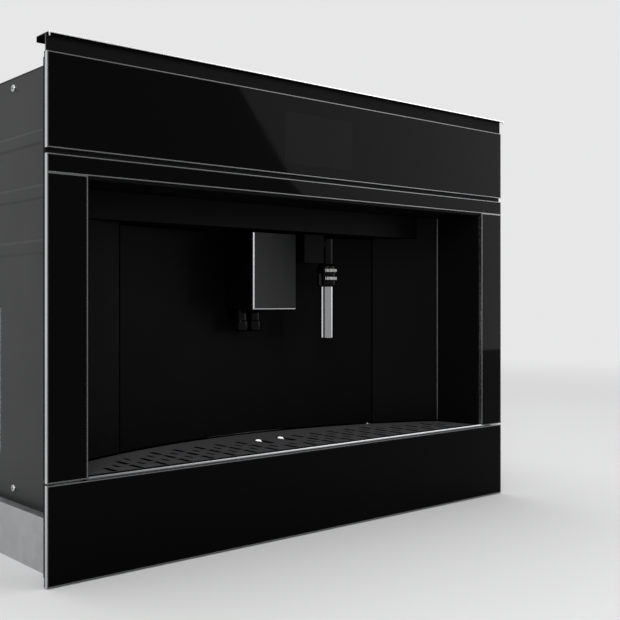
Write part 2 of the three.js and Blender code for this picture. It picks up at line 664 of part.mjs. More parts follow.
function recess() {
  const group = new THREE.Group();
  const headerHalf = arcX(HEADER_DEPTH) - GAP;
  const underHeader = block(
    [0, headerHalf + 2 * GAP],
    [HEADER_DEPTH - 2 * GAP, RECESS_DEPTH],
    [headerBottom - GAP, recessTop],
  );

  // One side's lining leans in towards the corner, and then follows the curve to the door.
  function lining(doorSide) {
    const plan = [
      [recessHalf, chassisFront],
      ...arcPoints(cornerHalf, doorSide, ARC_RADIUS, 8),
      ...arcPoints(doorSide, cornerHalf + SHEET, ARC_RADIUS + SHEET, 8),
      [recessOuter, chassisFront],
    ];
    return cut(upright(plan, [doorBottom - GAP, ceiling - GAP]), underHeader);
  }
  add(group, "right_recess_wall", lining(doorSpan[1] + DOOR_GAP), "blackMetal");
  add(group, "left_recess_wall", lining(DOOR_GAP - doorSpan[0]).mirror([1, 0, 0]), "blackMetal");

  // The ceiling and the header band are one folded sheet, with the upper door pin welded in. Its
  // last fold hangs behind the door's top edge.
  const across = span(headerHalf);
  const bandBack = HEADER_DEPTH + SHEET;
  const foldBack = RECESS_DEPTH + DOOR_THICKNESS + GAP + SHEET;
  const foldTop = headerBottom + SHEET;
  const roof = block(span(recessOuter), [chassisFront, bandBack], [ceiling, ceiling + SHEET]);
  const band = block(across, [HEADER_DEPTH, bandBack], [headerBottom, ceiling + SHEET]);
  const underside = block(across, [HEADER_DEPTH, foldBack], [headerBottom, foldTop]);
  const fold = block(across, [foldBack - SHEET, foldBack], [doorTop - DOOR_REBATE, foldTop]);
  const upperPin = post(
    DOOR_PIN_RADIUS,
    [hingeX, hingeY],
    [doorTop - DOOR_PIN_LENGTH, foldTop],
  );
  const lampHoles = [-LAMP_X, LAMP_X].map((x) =>
    post(LAMP_RADIUS + GAP, [x, LAMP_Y], past([ceiling, ceiling + SHEET])),
  );
  const whole = join(roof, band, underside, fold, upperPin);
  add(group, "recess_ceiling", cut(whole, ...lampHoles), "blackMetal");

  const lampAt = [LAMP_X, LAMP_Y];
  const lens = post(LAMP_RADIUS, lampAt, [ceiling, ceiling + 3 * SHEET]);
  const flange = post(LAMP_RADIUS + LAMP_FLANGE, lampAt, [ceiling + SHEET + GAP, ceiling + 4 * SHEET]);
  addPair(group, "cup_lamp", join(lens, flange), "lampLens");
  return group;
}

// ---------------------------------------------------------------- drip drawer

const trayFront = RIM_DEPTH - RIM_PROUD + GAP;
const trayRadius = ARC_RADIUS - GRILLE_CLEARANCE;
const trayHalf = recessHalf - GRILLE_CLEARANCE;
const trayCorner = cornerHalf - GRILLE_CLEARANCE;
const containerFront = RECESS_DEPTH + 2 * MOULDING;
const bigSlots = [-1, 1].map((side) => BIG_SLOT_OFFSET + (side * BIG_SLOT_SPREAD) / 2);
const floatTipY = BIG_SLOT_FRONT + BIG_SLOT_LENGTH - BIG_SLOT_WIDTH / 2;

// The tray's plan: a straight front, leaning sides and a back that follows the recess wall.
function trayPlan(inset) {
  const half = trayHalf - inset;
  const corner = trayCorner - inset;
  return [
    [half, trayFront + inset],
    ...arcPoints(corner, -corner, trayRadius - inset, 28),
    [-half, trayFront + inset],
  ];
}

function slotPlan([x, y], length, width) {
  const half = width / 2;
  const straight = length / 2 - half;
  return [
    [x - half, y - straight], [x, y - length / 2], [x + half, y - straight],
    [x + half, y + straight], [x, y + length / 2], [x - half, y + straight],
  ];
}

// Rows of slots as far as the tray's plan and the two large slots allow. Every second row has
// small slots and is shifted by half a pitch.
function slotPlans() {
  const plans = [];
  const count = Math.ceil(trayCorner / SLOT_PITCH_X);
  for (let row = 0; row < SLOT_ROWS; row++) {
    const small = row % 2 === 1;
    const y = FIRST_SLOT_ROW + row * SLOT_PITCH_Y;
    const end = y + SLOT_LENGTH / 2;
    for (let column = -count; column <= count; column++) {
      const x = SLOT_OFFSET + (column + (small ? 0.5 : 0)) * SLOT_PITCH_X;
      const inside = Math.abs(x) < trayCorner - SLOT_MARGIN && end + SLOT_MARGIN < arcY(x, trayRadius);
      const besideBig = bigSlots.some((big) => Math.abs(x - big) < BIG_SLOT_SPREAD / 2);
      if (!inside || (besideBig && end > BIG_SLOT_FRONT)) continue;
      plans.push(
        small
          ? slotPlan([x, y], SMALL_SLOT_LENGTH, SMALL_SLOT_WIDTH)
          : slotPlan([x, y], SLOT_LENGTH, SLOT_WIDTH),
      );
    }
  }
  const bigMiddle = BIG_SLOT_FRONT + BIG_SLOT_LENGTH / 2;
  for (const x of bigSlots) plans.push(slotPlan([x, bigMiddle], BIG_SLOT_LENGTH, BIG_SLOT_WIDTH));
  return plans;
}

function drawer() {
  const group = new THREE.Group();
  const across = [-frontHalf, frontHalf];
  const rise = [0, DRAWER_FRONT_HEIGHT];
  const returnOuter = frontHalf - RETURN_INSET;
  const returnDepth = [frameBack - EDGE, FASCIA_DEPTH - GAP];
  const returnRise = [BASE_LIFT - SHEET, DRAWER_FRONT_HEIGHT - EDGE];
  const returnWall = [returnOuter - SHEET, returnOuter];
  const frame = join(
    glassTray(across, rise),
    block(returnWall, returnDepth, returnRise),
    block(opposite(returnWall), returnDepth, returnRise),
    block(span(returnOuter), returnDepth, [BASE_LIFT - SHEET, BASE_LIFT]),
  );
  add(group, "drawer_front_frame", frame, "stainless");
  add(group, "drawer_front_glass", glassIn(across, rise), "blackGlass");

  const rimPlan = [
    [recessHalf - GAP, RIM_DEPTH - RIM_PROUD],
    [recessHalf - GAP, 2 * RIM_PROUD],
    [recessHalf - GAP - 3 * RIM_PROUD, -RIM_PROUD],
  ];
  const rim = [...rimPlan, ...mirrored(rimPlan).reverse()];
  add(group, "tray_rim", upright(rim, [DRAWER_FRONT_HEIGHT + GAP, rimTop]), "stainless");

  // The tray's tub, and behind it a low cradle for the grounds container.
  const tub = cut(
    upright(trayPlan(0), [trayBottom, trayTop]),
    upright(trayPlan(MOULDING), [trayBottom + MOULDING, trayTop + PAST]),
  );
  const cradleHalf = CONTAINER_WIDTH / 2 + GAP + MOULDING;
  const cradleDepth = [
    arcY(cradleHalf, trayRadius) - MOULDING,
    containerFront + CONTAINER_DEPTH + GAP + MOULDING,
  ];
  const cradle = cut(
    block(span(cradleHalf), cradleDepth, [trayBottom, trayBottom + CRADLE_HEIGHT]),
    block(
      span(CONTAINER_WIDTH / 2 + GAP),
      [containerFront - GAP, containerFront + CONTAINER_DEPTH + GAP],
      [trayBottom + MOULDING, trayTop],
    ),
    upright(trayPlan(MOULDING), [trayBottom + MOULDING, trayTop]),
  );
  add(group, "drip_tray", join(tub, cradle), "blackPlastic");

  const box = block(
    span(CONTAINER_WIDTH / 2),
    [containerFront, containerFront + CONTAINER_DEPTH],
    [trayBottom + MOULDING + GAP, trayTop - GAP],
  );
  const room = block(
    span(CONTAINER_WIDTH / 2 - MOULDING),
    [containerFront + MOULDING, containerFront + CONTAINER_DEPTH - MOULDING],
    [trayBottom + 2 * MOULDING + GAP, trayTop + PAST],
  );
  add(group, "grounds_container", cut(box, room), "blackPlastic");
  return group;
}

function cupGrille() {
  const group = new THREE.Group();
  const rise = [grilleBottom, grilleTop];
  const slots = slotPlans().map((plan) => upright(plan, past(rise)));
  add(group, "cup_grille", cut(upright(trayPlan(0), rise), ...slots), "grilleMetal");
  return group;
}

function levelFloat() {
  const group = new THREE.Group();
  const bottom = trayBottom + MOULDING + GAP;
  const reach = BIG_SLOT_SPREAD / 2 + 1.5 * FLOAT_TIP;
  const body = block(
    span(reach, BIG_SLOT_OFFSET),
    span(FLOAT_DEPTH / 2, floatTipY - FLOAT_TIP),
    [bottom, bottom + FLOAT_HEIGHT],
  );
  const tips = bigSlots.map((x) =>
    block(
      span(FLOAT_TIP / 2, x),
      [floatTipY - 2 * FLOAT_TIP, floatTipY],
      [bottom + FLOAT_HEIGHT / 2, grilleTop - GAP],
    ),
  );
  add(group, "level_float", join(body, ...tips), "whitePlastic");
  return group;
}

// ---------------------------------------------------------------- service door

const spoutRise = [doorTop - SPOUT_DROP - SPOUT_HEIGHT, doorTop - SPOUT_DROP];
const spoutFront = RECESS_DEPTH - SPOUT_REACH;
const spoutBody = spoutFront + SPOUT_PLATE + GAP;
const railFace = RECESS_DEPTH - 2 * GAP - 2 * RAIL_PLATE;
const spoutBack = railFace - GAP;
const ductAt = [0, RECESS_DEPTH - DUCT_REACH];
const ductElbow = spoutRise[1] - SPOUT_WALL - DUCT_RADIUS - 2 * SPOUT_WALL;
const manifoldRise = [spoutRise[0] + GAP, spoutRise[0] + GAP + MANIFOLD];
const ductEnd = manifoldRise[1] + GAP;
const nozzleY = ductAt[1] + NOZZLE_RADIUS - SPOUT_WALL;

const wandY = RECESS_DEPTH - WAND_REACH;
const wandPivot = doorTop - WAND_PIVOT_DROP;
const trunnionSpan = [WAND_X - COLLAR_RADIUS - TRUNNION_LENGTH, WAND_X];
const collarRise = [wandPivot - COLLAR_DROP - COLLAR_LENGTH, wandPivot - COLLAR_DROP];
const sleeveRise = [collarRise[0] - GAP - SLEEVE_LENGTH, collarRise[0] - GAP];

function serviceDoor() {
  const group = new THREE.Group();
  const [left, right] = doorSpan;
  const plan = [
    ...arcPoints(left, right, ARC_RADIUS, 20),
    ...arcPoints(right, left, ARC_RADIUS + DOOR_THICKNESS, 20),
  ];
  const pinHole = (rise) => post(DOOR_PIN_RADIUS + GAP, [hingeX, hingeY], rise, { sides: 16 });
  const door = cut(
    upright(plan, [doorBottom, doorTop]),
    pinHole([doorBottom - PAST, doorBottom + DOOR_PIN_LENGTH + GAP]),
    pinHole([doorTop - DOOR_PIN_LENGTH - GAP, doorTop + PAST]),
    barY(DUCT_RADIUS + GAP, [0, ductElbow], past([RECESS_DEPTH, RECESS_DEPTH + DOOR_THICKNESS])),
  );
  add(group, "service_door", door, "blackPlastic");

  // A T-section rail on which the spout housing slides.
  const railRise = [spoutRise[0] - DUCT_REACH, spoutRise[1]];
  const head = block(span(RAIL_HEAD), [railFace, railFace + RAIL_PLATE], railRise);
  const stem = block(span(RAIL_STEM), [railFace, railFace + 2 * RAIL_PLATE], railRise);
  const ductHole = barY(DUCT_RADIUS + GAP, [0, ductElbow], [railFace - PAST, RECESS_DEPTH]);
  add(group, "spout_rail", cut(join(head, stem), ductHole), "blackPlastic");

  const throughEnd = RECESS_DEPTH + DOOR_THICKNESS + BREW_SETBACK / 2;
  const duct = join(
    post(DUCT_RADIUS, ductAt, [ductEnd, ductElbow]),
    barY(DUCT_RADIUS, [0, ductElbow], [ductAt[1], throughEnd], 24),
    solid(new THREE.SphereGeometry(DUCT_RADIUS, 24, 12).translate(...ductAt, ductElbow)),
  );
  const bore = join(
    post(DUCT_BORE, ductAt, [ductEnd - PAST, ductElbow], { sides: 12 }),
    barY(DUCT_BORE, [0, ductElbow], [ductAt[1], throughEnd + PAST], 12),
  );
  add(group, "coffee_duct", cut(duct, bore), "greyPlastic");

  // The mount ends beside the wand, and a round boss on it holds the wand's trunnion.
  const mountRight = WAND_X - COLLAR_RADIUS - GAP;
  const mountFront = RECESS_DEPTH - MOUNT_REACH;
  const mountPlan = [
    [MOUNT_INNER_X, mountFront],
    [mountRight, mountFront],
    ...arcPoints(mountRight, MOUNT_INNER_X, ARC_RADIUS - GAP, 4),
  ];
  const pivotAt = [wandY, wandPivot];
  const boss = barX(WAND_RADIUS, pivotAt, [mountRight - PAST, trunnionSpan[1] - WAND_RADIUS - GAP], 24);
  const trunnionHole = barX(TRUNNION_RADIUS + GAP, pivotAt, [trunnionSpan[0] - GAP, WAND_X]);
  const mount = cut(join(upright(mountPlan, [doorTop - MOUNT_HEIGHT, doorTop - GAP]), boss), trunnionHole);
  add(group, "steam_mount", mount, "blackPlastic");
  return group;
}

function spout() {
  const group = new THREE.Group();
  const half = SPOUT_WIDTH / 2;
  const plate = block(span(half), [spoutFront, spoutFront + SPOUT_PLATE], spoutRise);
  add(group, "spout_front_plate", plate, "brushedSteel");

  // The housing is open below; its back and top leave room for the duct, and two claws hold it
  // on the rail.
  const inside = half - SPOUT_WALL;
  const arm = [RAIL_HEAD + GAP, RAIL_HEAD + GAP + SPOUT_WALL];
  const tip = [RAIL_STEM + GAP, arm[1]];
  const tipDepth = [railFace + RAIL_PLATE + GAP, railFace + RAIL_PLATE + GAP + SPOUT_WALL / 2];
  const armDepth = [spoutBack - SPOUT_WALL, tipDepth[1]];
  const claws = [
    block(arm, armDepth, spoutRise),
    block(tip, tipDepth, spoutRise),
    block(opposite(arm), armDepth, spoutRise),
    block(opposite(tip), tipDepth, spoutRise),
  ];
  const housing = cut(
    block(span(half), [spoutBody, spoutBack], spoutRise),
    block(
      span(inside),
      [spoutBody + SPOUT_WALL, spoutBack - SPOUT_WALL],
      [spoutRise[0] - PAST, spoutRise[1] - SPOUT_WALL],
    ),
    block(
      span(DUCT_RADIUS + 2 * GAP),
      [ductAt[1] - DUCT_RADIUS - 2 * GAP, spoutBack + PAST],
      [spoutRise[0] + SPOUT_WALL + MANIFOLD, spoutRise[1] + PAST],
    ),
  );
  add(group, "spout_housing", join(housing, ...claws), "blackPlastic");

  // The nozzles and the sleeve that slides on the upright duct are one moulding.
  const backEdge = spoutBack - SPOUT_WALL - GAP;
  const manifold = block(span(inside - GAP), [ductAt[1] - DUCT_REACH / 2, backEdge], manifoldRise);
  const sleeveTop = ductElbow - DUCT_RADIUS - 2 * GAP;
  const sleeve = post(DUCT_RADIUS + GAP + SLIDE_WALL, ductAt, [manifoldRise[0], sleeveTop]);
  const low = spoutRise[0] - NOZZLE_LENGTH;
  const places = span(NOZZLE_SPREAD / 2, NOZZLE_MIDDLE).map((x) => [x, nozzleY]);
  const nozzles = places.flatMap((at) => [
    post(NOZZLE_RADIUS, at, [low, manifoldRise[1]]),
    post(NOZZLE_RING, at, [low, low + NOZZLE_LENGTH / 2]),
  ]);
  const boreTop = manifoldRise[0] + MANIFOLD / 2;
  const bores = places.map((at) => post(NOZZLE_BORE, at, [low - PAST, boreTop], { sides: 12 }));
  const ductRoom = post(DUCT_RADIUS + GAP, ductAt, [manifoldRise[0] + MANIFOLD / 3, sleeveTop + PAST]);
  const crossBore = block(
    [places[0][0], ductAt[0]],
    span(NOZZLE_BORE / 2, nozzleY),
    span(MANIFOLD / 8, boreTop),
  );
  add(
    group,
    "spout_nozzles",
    cut(join(manifold, sleeve, ...nozzles), ...bores, ductRoom, crossBore),
    "glossPlastic",
  );
  return group;
}

function steamWand() {
  const tubeGroup = new THREE.Group();
  const collarGroup = new THREE.Group();
  const sleeveGroup = new THREE.Group();
  const at = [WAND_X, wandY];
  const tube = cut(
    join(
      post(WAND_RADIUS, at, [collarRise[0] + MOULDING, wandPivot + WAND_TOP]),
      post(WAND_PIPE, at, [sleeveRise[0] + MOULDING, wandPivot], { sides: 16 }),
      barX(TRUNNION_RADIUS, [wandY, wandPivot], trunnionSpan),
    ),
    post(WAND_BORE, at, [sleeveRise[0], wandPivot], { sides: 8 }),
  );
  add(tubeGroup, "steam_tube", tube, "glossPlastic");

  const collar = cut(
    post(COLLAR_RADIUS, at, collarRise),
    post(WAND_RADIUS + GAP, at, past(collarRise)),
  );
  add(collarGroup, "frother_collar", collar, "glossPlastic");

  const sleeve = cut(
    post(WAND_RADIUS, at, sleeveRise),
    post(WAND_PIPE + GAP, at, past(sleeveRise), { sides: 16 }),
  );
  add(sleeveGroup, "frother_sleeve", sleeve, "chrome");
  return [tubeGroup, collarGroup, sleeveGroup];
}

// ---------------------------------------------------------------- brew unit

const brewRise = [floorTop + GAP, shelfBottom - BREW_HEADROOM];
const brewDepth = [innerFront, innerFront + BREW_DEPTH];
const chamberAt = [0, innerFront + CHAMBER_SETBACK];
const screwAt = [0, innerFront + SCREW_SETBACK];
const chamberRise = [
  brewRise[0] + BREW_DECK + CHAMBER_LIFT,
  brewRise[0] + BREW_DECK + CHAMBER_LIFT + CHAMBER_HEIGHT,
];
const chuteAt = [0, chamberAt[1] - CHAMBER_BORE + CHUTE_RADIUS];

function brewUnit() {
  const frameGroup = new THREE.Group();
  const half = BREW_WIDTH / 2;
  const inside = [brewRise[0] + BREW_DECK, brewRise[1] - BREW_DECK];
  const pistonBottom = chamberRise[1] + CHAMBER_TRAVEL - PISTON_OVERLAP;
  const buttonAt = [innerFront + BUTTON_SETBACK, brewRise[0] + BUTTON_LIFT];

  // The frame is open in front and below the chamber. The upper piston hangs from its top, with
  // the coffee chute through it.
  const frame = join(
    cut(
      block(span(half), brewDepth, brewRise),
      block(span(half - BREW_WALL), [brewDepth[0] - PAST, brewDepth[1] - BREW_WALL], inside),
    ),
    post(CHAMBER_BORE - GAP, chamberAt, [pistonBottom, inside[1] + PAST]),
  );
  const dropHole = block(
    span(half - 3 * BREW_WALL),
    [brewDepth[0] + BREW_WALL, chamberAt[1] + CHAMBER_RADIUS],
    past([brewRise[0], inside[0]]),
  );
  const chute = post(CHUTE_RADIUS, chuteAt, past([pistonBottom, brewRise[1]]), { sides: 16 });
  const screwSeats = post(
    SCREW_RADIUS + GAP,
    screwAt,
    [inside[0] - BREW_DECK / 2, inside[1] + BREW_DECK / 2],
    { sides: 16 },
  );
  const buttonHoles = barX(BUTTON_RADIUS + GAP, buttonAt, past(span(half)), 20);
  add(frameGroup, "brew_unit_frame", cut(frame, dropHole, chute, screwSeats, buttonHoles), "greyPlastic");

  const chamberGroup = new THREE.Group();
  const lug = block(
    span(2 * SCREW_RADIUS),
    [chamberAt[1] + CHAMBER_BORE + SHEET, screwAt[1] + LUG_REACH],
    [chamberRise[0] + CHAMBER_HEIGHT / 4, chamberRise[1] - CHAMBER_HEIGHT / 4],
  );
  const chamber = cut(
    join(post(CHAMBER_RADIUS, chamberAt, chamberRise), lug),
    post(CHAMBER_BORE, chamberAt, [chamberRise[0] + BREW_DECK, chamberRise[1] + PAST]),
    post(SCREW_RADIUS + GAP, screwAt, chamberRise, { sides: 16 }),
  );
  add(chamberGroup, "brew_chamber", chamber, "blackPlastic");

  // The screw's thread is left plain; a flat across its lower end takes the drive.
  const screwGroup = new THREE.Group();
  const seat = BREW_DECK / 2 - GAP;
  const screw = post(SCREW_RADIUS, screwAt, [inside[0] - seat, inside[1] + seat], { sides: 16 });
  add(screwGroup, "lead_screw", screw, "stainless");

  const buttonGroup = new THREE.Group();
  const buttonReach = [half + BUTTON_STROKE + GAP - BUTTON_LENGTH, half + BUTTON_STROKE + GAP];
  addPair(buttonGroup, "release_button", barX(BUTTON_RADIUS, buttonAt, buttonReach, 20), "orangePlastic");
  return [frameGroup, chamberGroup, screwGroup, buttonGroup];
}

// ---------------------------------------------------------------- grinder, hopper and lid

function grinder() {
  const fixed = new THREE.Group();
  const roomBottom = grinderRise[1] - GRIND_ROOM_DEPTH;
  const shaftBottom = roomBottom - BURR_SHAFT_LENGTH + GAP;
  const armSpan = [grinderAt[0], KNOB_X + KNOB_RADIUS];
  const armRise = [grinderRise[1] - 2 * BREW_DECK, grinderRise[1] - BREW_DECK];

  // The housing carries the burrs, an arm for the grind knob and the chute down to the brew unit.
  const chuteRise = [grinderRise[0], roomBottom + CHUTE_RADIUS];
  const housing = cut(
    join(
      post(GRINDER_RADIUS, grinderAt, grinderRise, { sides: 32 }),
      block(armSpan, span(KNOB_RADIUS, grinderAt[1]), armRise),
      block(span(CHUTE_RADIUS + MOULDING), [chuteAt[1] - CHUTE_RADIUS - MOULDING, grinderAt[1]], chuteRise),
    ),
    post(GRIND_ROOM, grinderAt, [roomBottom, grinderRise[1] + PAST], { sides: 32 }),
    post(CHUTE_RADIUS, chuteAt, [grinderRise[0] - PAST, roomBottom + CHUTE_RADIUS / 2], { sides: 16 }),
    block(
      span(CHUTE_RADIUS - GAP),
      [chuteAt[1], grinderAt[1]],
      [roomBottom - CHUTE_RADIUS, roomBottom + GAP],
    ),
    post(BURR_SHAFT_RADIUS + GAP, grinderAt, [shaftBottom - GAP, roomBottom + PAST], { sides: 16 }),
    post(BURR_SHAFT_RADIUS + GAP, [KNOB_X, grinderAt[1]], past(armRise), { sides: 16 }),
  );
  add(fixed, "grinder_housing", housing, "blackPlastic");

  const burrRise = [grinderRise[1] - UPPER_BURR_HEIGHT, grinderRise[1] - GAP];
  const upper = cut(
    post(GRIND_ROOM - GAP, grinderAt, burrRise, { sides: 32 }),
    post(LOWER_BURR_RADIUS - MOULDING, grinderAt, past(burrRise), {
      sides: 24,
      topRadius: BURR_HOLE,
    }),
  );
  add(fixed, "upper_burr", upper, "stainless");

  const turning = new THREE.Group();
  const lowerBottom = roomBottom + 2 * GAP;
  const lower = join(
    post(BURR_SHAFT_RADIUS, grinderAt, [shaftBottom, lowerBottom + PAST], { sides: 16 }),
    post(LOWER_BURR_RADIUS - 4 * MOULDING, grinderAt, [lowerBottom, lowerBottom + LOWER_BURR_HEIGHT], {
      topRadius: LOWER_BURR_RADIUS - 6 * MOULDING,
    }),
    post(BURR_HOLE - MOULDING, grinderAt, [lowerBottom + PAST, burrRise[0] + UPPER_BURR_HEIGHT / 2], {
      topRadius: BURR_HOLE / 2,
    }),
  );
  add(turning, "lower_burr", lower, "stainless");

  // The hopper narrows to the hole over the burrs; its wall follows on the outside.
  const mouth = (inset) => [
    hopperSpan[0] + inset, hopperSpan[1] - inset,
    hopperDepth[0] + inset, hopperDepth[1] - inset,
  ];
  const throat = (half) => [
    grinderAt[0] - half, grinderAt[0] + half,
    grinderAt[1] - half, grinderAt[1] + half,
  ];
  const floor = hopperRise[0] + 2 * MOULDING;
  const hopper = cut(
    taper(throat(BURR_HOLE + 3 * MOULDING), mouth(0), hopperRise),
    taper(throat(BURR_HOLE), mouth(MOULDING), [floor, hopperRise[1] + GAP]),
    post(BURR_HOLE - MOULDING, grinderAt, past([hopperRise[0], floor])),
  );
  add(fixed, "bean_hopper", hopper, "clearPlastic");

  const lidGroup = new THREE.Group();
  const lid = join(
    block(lidSpan, lidDepth, [bodyTop - SHEET, bodyTop]),
    block(
      [lidSpan[0] + LID_GRIP_INSET, lidSpan[1] - LID_GRIP_INSET],
      [lidDepth[0] + LID_GRIP, lidDepth[0] + 2 * LID_GRIP],
      [bodyTop - GAP, bodyTop + SHEET],
    ),
  );
  add(lidGroup, "hopper_lid", lid, "blackPlastic");

  const knobGroup = new THREE.Group();
  const knobBottom = armRise[1] + GAP;
  const knobAt = [KNOB_X, grinderAt[1]];
  const grip = post(KNOB_RADIUS, knobAt, [knobBottom, knobBottom + KNOB_HEIGHT], { sides: 12 });
  const stem = post(BURR_SHAFT_RADIUS, knobAt, [armRise[0], knobBottom + PAST], { sides: 16 });
  add(knobGroup, "grind_knob", join(grip, stem), "greyPlastic");
  return [fixed, turning, lidGroup, knobGroup];
}

// ---------------------------------------------------------------- water tank

function waterTank() {
  const tankGroup = new THREE.Group();
  const deckEdge = tankSpan[0] + TANK_WALL + TANK_LID_WIDTH;
  const gripTop = tankRise[1] - TANK_WALL - TANK_GRIP_DROP;
  const gripRise = [gripTop - TANK_GRIP_HEIGHT, gripTop];
  const gripMiddle = (tankDepth[0] + tankDepth[1]) / 2;
  const tank = cut(
    join(
      cut(
        block(tankSpan, tankDepth, tankRise),
        block(
          [tankSpan[0] + TANK_WALL, tankSpan[1] - TANK_WALL],
          [tankDepth[0] + TANK_WALL, tankDepth[1] - TANK_WALL],
          [tankRise[0] + TANK_WALL, tankRise[1] - TANK_WALL],
        ),
        block(
          [tankSpan[0] + TANK_WALL, deckEdge],
          [tankDepth[0] + TANK_WALL, tankDepth[1] - TANK_WALL],
          [tankRise[1] - 2 * TANK_WALL, tankRise[1] + PAST],
        ),
      ),
      block(
        [tankSpan[0], tankSpan[0] + TANK_GRIP_DEPTH + TANK_WALL],
        span(TANK_GRIP / 2 + TANK_WALL, gripMiddle),
        [gripRise[0] - TANK_WALL, gripRise[1] + TANK_WALL],
      ),
    ),
    block(
      [tankSpan[0] - PAST, tankSpan[0] + TANK_GRIP_DEPTH],
      span(TANK_GRIP / 2, gripMiddle),
      gripRise,
    ),
  );
  const lip = block([tankSpan[0], -sideInner], tankDepth, [tankRise[1] - TANK_WALL, tankLidTop]);
  add(tankGroup, "water_tank", join(tank, lip), "clearPlastic");

  const lidGroup = new THREE.Group();
  const lid = block(
    [GAP - sideInner, deckEdge],
    [tankDepth[0] + TANK_WALL, tankDepth[1] - TANK_WALL],
    [tankRise[1] + GAP, tankLidTop],
  );
  add(lidGroup, "tank_lid", lid, "blackPlastic");
  return [tankGroup, lidGroup];
}

// ---------------------------------------------------------------- heater, pump and electrics

function works() {
  const group = new THREE.Group();
  const foot = floorTop + GAP;

  const boilerX = sideInner - BOILER_INSET - BOILER_WIDTH / 2;
  const boilerSpan = span(BOILER_WIDTH / 2, boilerX);
  const boilerDepth = [innerFront + TANK_SETBACK, innerFront + TANK_SETBACK + BOILER_DEPTH];
  const finPitch = BOILER_DEPTH / (FIN_COUNT + 1);
  const finSlots = Array.from({ length: FIN_COUNT }, (_, i) =>
    block(
      [boilerSpan[0] - PAST, boilerSpan[0] + BOILER_WIDTH / 5],
      span(FIN_SLOT / 2, boilerDepth[0] + (i + 1) * finPitch),
      [foot + BREW_DECK, foot + BOILER_HEIGHT + PAST],
    ),
  );
  const stubs = [-1, 1].map((side) =>
    post(DUCT_BORE, [boilerX + side * (BOILER_WIDTH / 4), boilerDepth[0] + BOILER_DEPTH / 2], [
      foot + BOILER_HEIGHT - PAST,
      foot + BOILER_HEIGHT + 3 * DUCT_RADIUS,
    ], { sides: 12 }),
  );
  const boiler = cut(block(boilerSpan, boilerDepth, [foot, foot + BOILER_HEIGHT]), ...finSlots);
  add(group, "thermoblock", join(boiler, ...stubs), "aluminium");

  const axisZ = foot + BREW_DECK + COIL_SIZE / 2;
  const pumpBack = chassisBack - BREW_DECK;
  const coilFront = pumpBack - PUMP_LENGTH / 2 - COIL_LENGTH / 2;
  const pump = join(
    barY(PUMP_RADIUS, [PUMP_X, axisZ], [pumpBack - PUMP_LENGTH, pumpBack]),
    block(span(COIL_SIZE / 2, PUMP_X), [coilFront, coilFront + COIL_LENGTH], span(COIL_SIZE / 2, axisZ)),
    block(span(COIL_SIZE / 2, PUMP_X), [coilFront, coilFront + COIL_LENGTH], [foot, axisZ]),
    barY(DUCT_BORE, [PUMP_X, axisZ], [pumpBack - PUMP_LENGTH - 3 * DUCT_RADIUS, pumpBack - PAST], 12),
  );
  add(group, "pump", pump, "greyPlastic");

  // The power board stands on the upper shelf in front of the rear panel.
  const boardFront = chassisBack - POWER_BOARD_ROOM;
  const boardRight = sideInner - POWER_BOARD_INSET;
  const boardSpan = [boardRight - POWER_BOARD_WIDTH, boardRight];
  const boardFoot = shelfTop + GAP;
  const boardMiddle = boardFoot + POWER_BOARD_HEIGHT / 2;
  const faceSpan = (depth) => [boardFront - depth, boardFront + PAST];
  const board = join(
    block(boardSpan, [boardFront, boardFront + BOARD], [boardFoot, boardFoot + POWER_BOARD_HEIGHT]),
    block(boardSpan, [boardFront, boardFront + POWER_BOARD_FOOT], [boardFoot, boardFoot + BOARD]),
    block(
      [boardSpan[0] + POWER_BOARD_INSET, boardSpan[0] + POWER_BOARD_INSET + COIL_BLOCK],
      faceSpan(COIL_BLOCK_DEPTH),
      span(COIL_BLOCK / 2, boardMiddle),
    ),
    barY(
      CAPACITOR_RADIUS,
      [boardRight - RELAY_WIDTH / 2, boardMiddle + RELAY_HEIGHT],
      faceSpan(CAPACITOR_LENGTH),
    ),
    block(
      [boardRight - 2 * RELAY_HEIGHT - RELAY_WIDTH / 2, boardRight - RELAY_HEIGHT / 2],
      faceSpan(RELAY_HEIGHT),
      span(RELAY_HEIGHT / 2, boardMiddle - 2 * RELAY_HEIGHT),
    ),
  );
  add(group, "power_board", board, "board");

  // One moulding holds the appliance inlet and the seat of the main switch.
  const flangeBack = rearBack + GAP + SHEET;
  const bodyBack = [rearBack - INLET_DEPTH, flangeBack];
  const socketFloor = flangeBack - INLET_DEPTH / 2 - SHEET;
  const switchAt = inletSpan[0] + SHEET * 2 + SWITCH_WIDTH / 2;
  const socketSpan = [switchAt + SWITCH_WIDTH / 2 + 3 * SHEET, inletSpan[1] - 2 * SHEET];
  const inlet = cut(
    join(
      block(inletSpan, bodyBack, inletRise),
      block(
        [inletSpan[0] - 2 * SHEET, inletSpan[1] + 2 * SHEET],
        [rearBack + GAP, flangeBack],
        [inletRise[0] - 2 * SHEET, inletRise[1] + 2 * SHEET],
      ),
    ),
    block(socketSpan, [socketFloor, flangeBack + PAST], span(INLET_HEIGHT / 3, INLET_Z)),
    block(
      span(SWITCH_WIDTH / 2 + GAP, switchAt),
      [flangeBack - INLET_DEPTH / 2, flangeBack + PAST],
      span(SWITCH_HEIGHT / 2 + 2 * GAP, INLET_Z),
    ),
  );
  const pinWidth = 2 * SHEET;
  const pins = [-1, 0, 1].map((place) => {
    const middle = (socketSpan[0] + socketSpan[1]) / 2 + place * 3 * pinWidth;
    return block(
      span(pinWidth / 2, middle),
      [socketFloor - SHEET, flangeBack - 2 * SHEET],
      span(pinWidth, INLET_Z - Math.abs(place) * pinWidth),
    );
  });
  add(group, "power_inlet", join(inlet, ...pins), "blackPlastic");

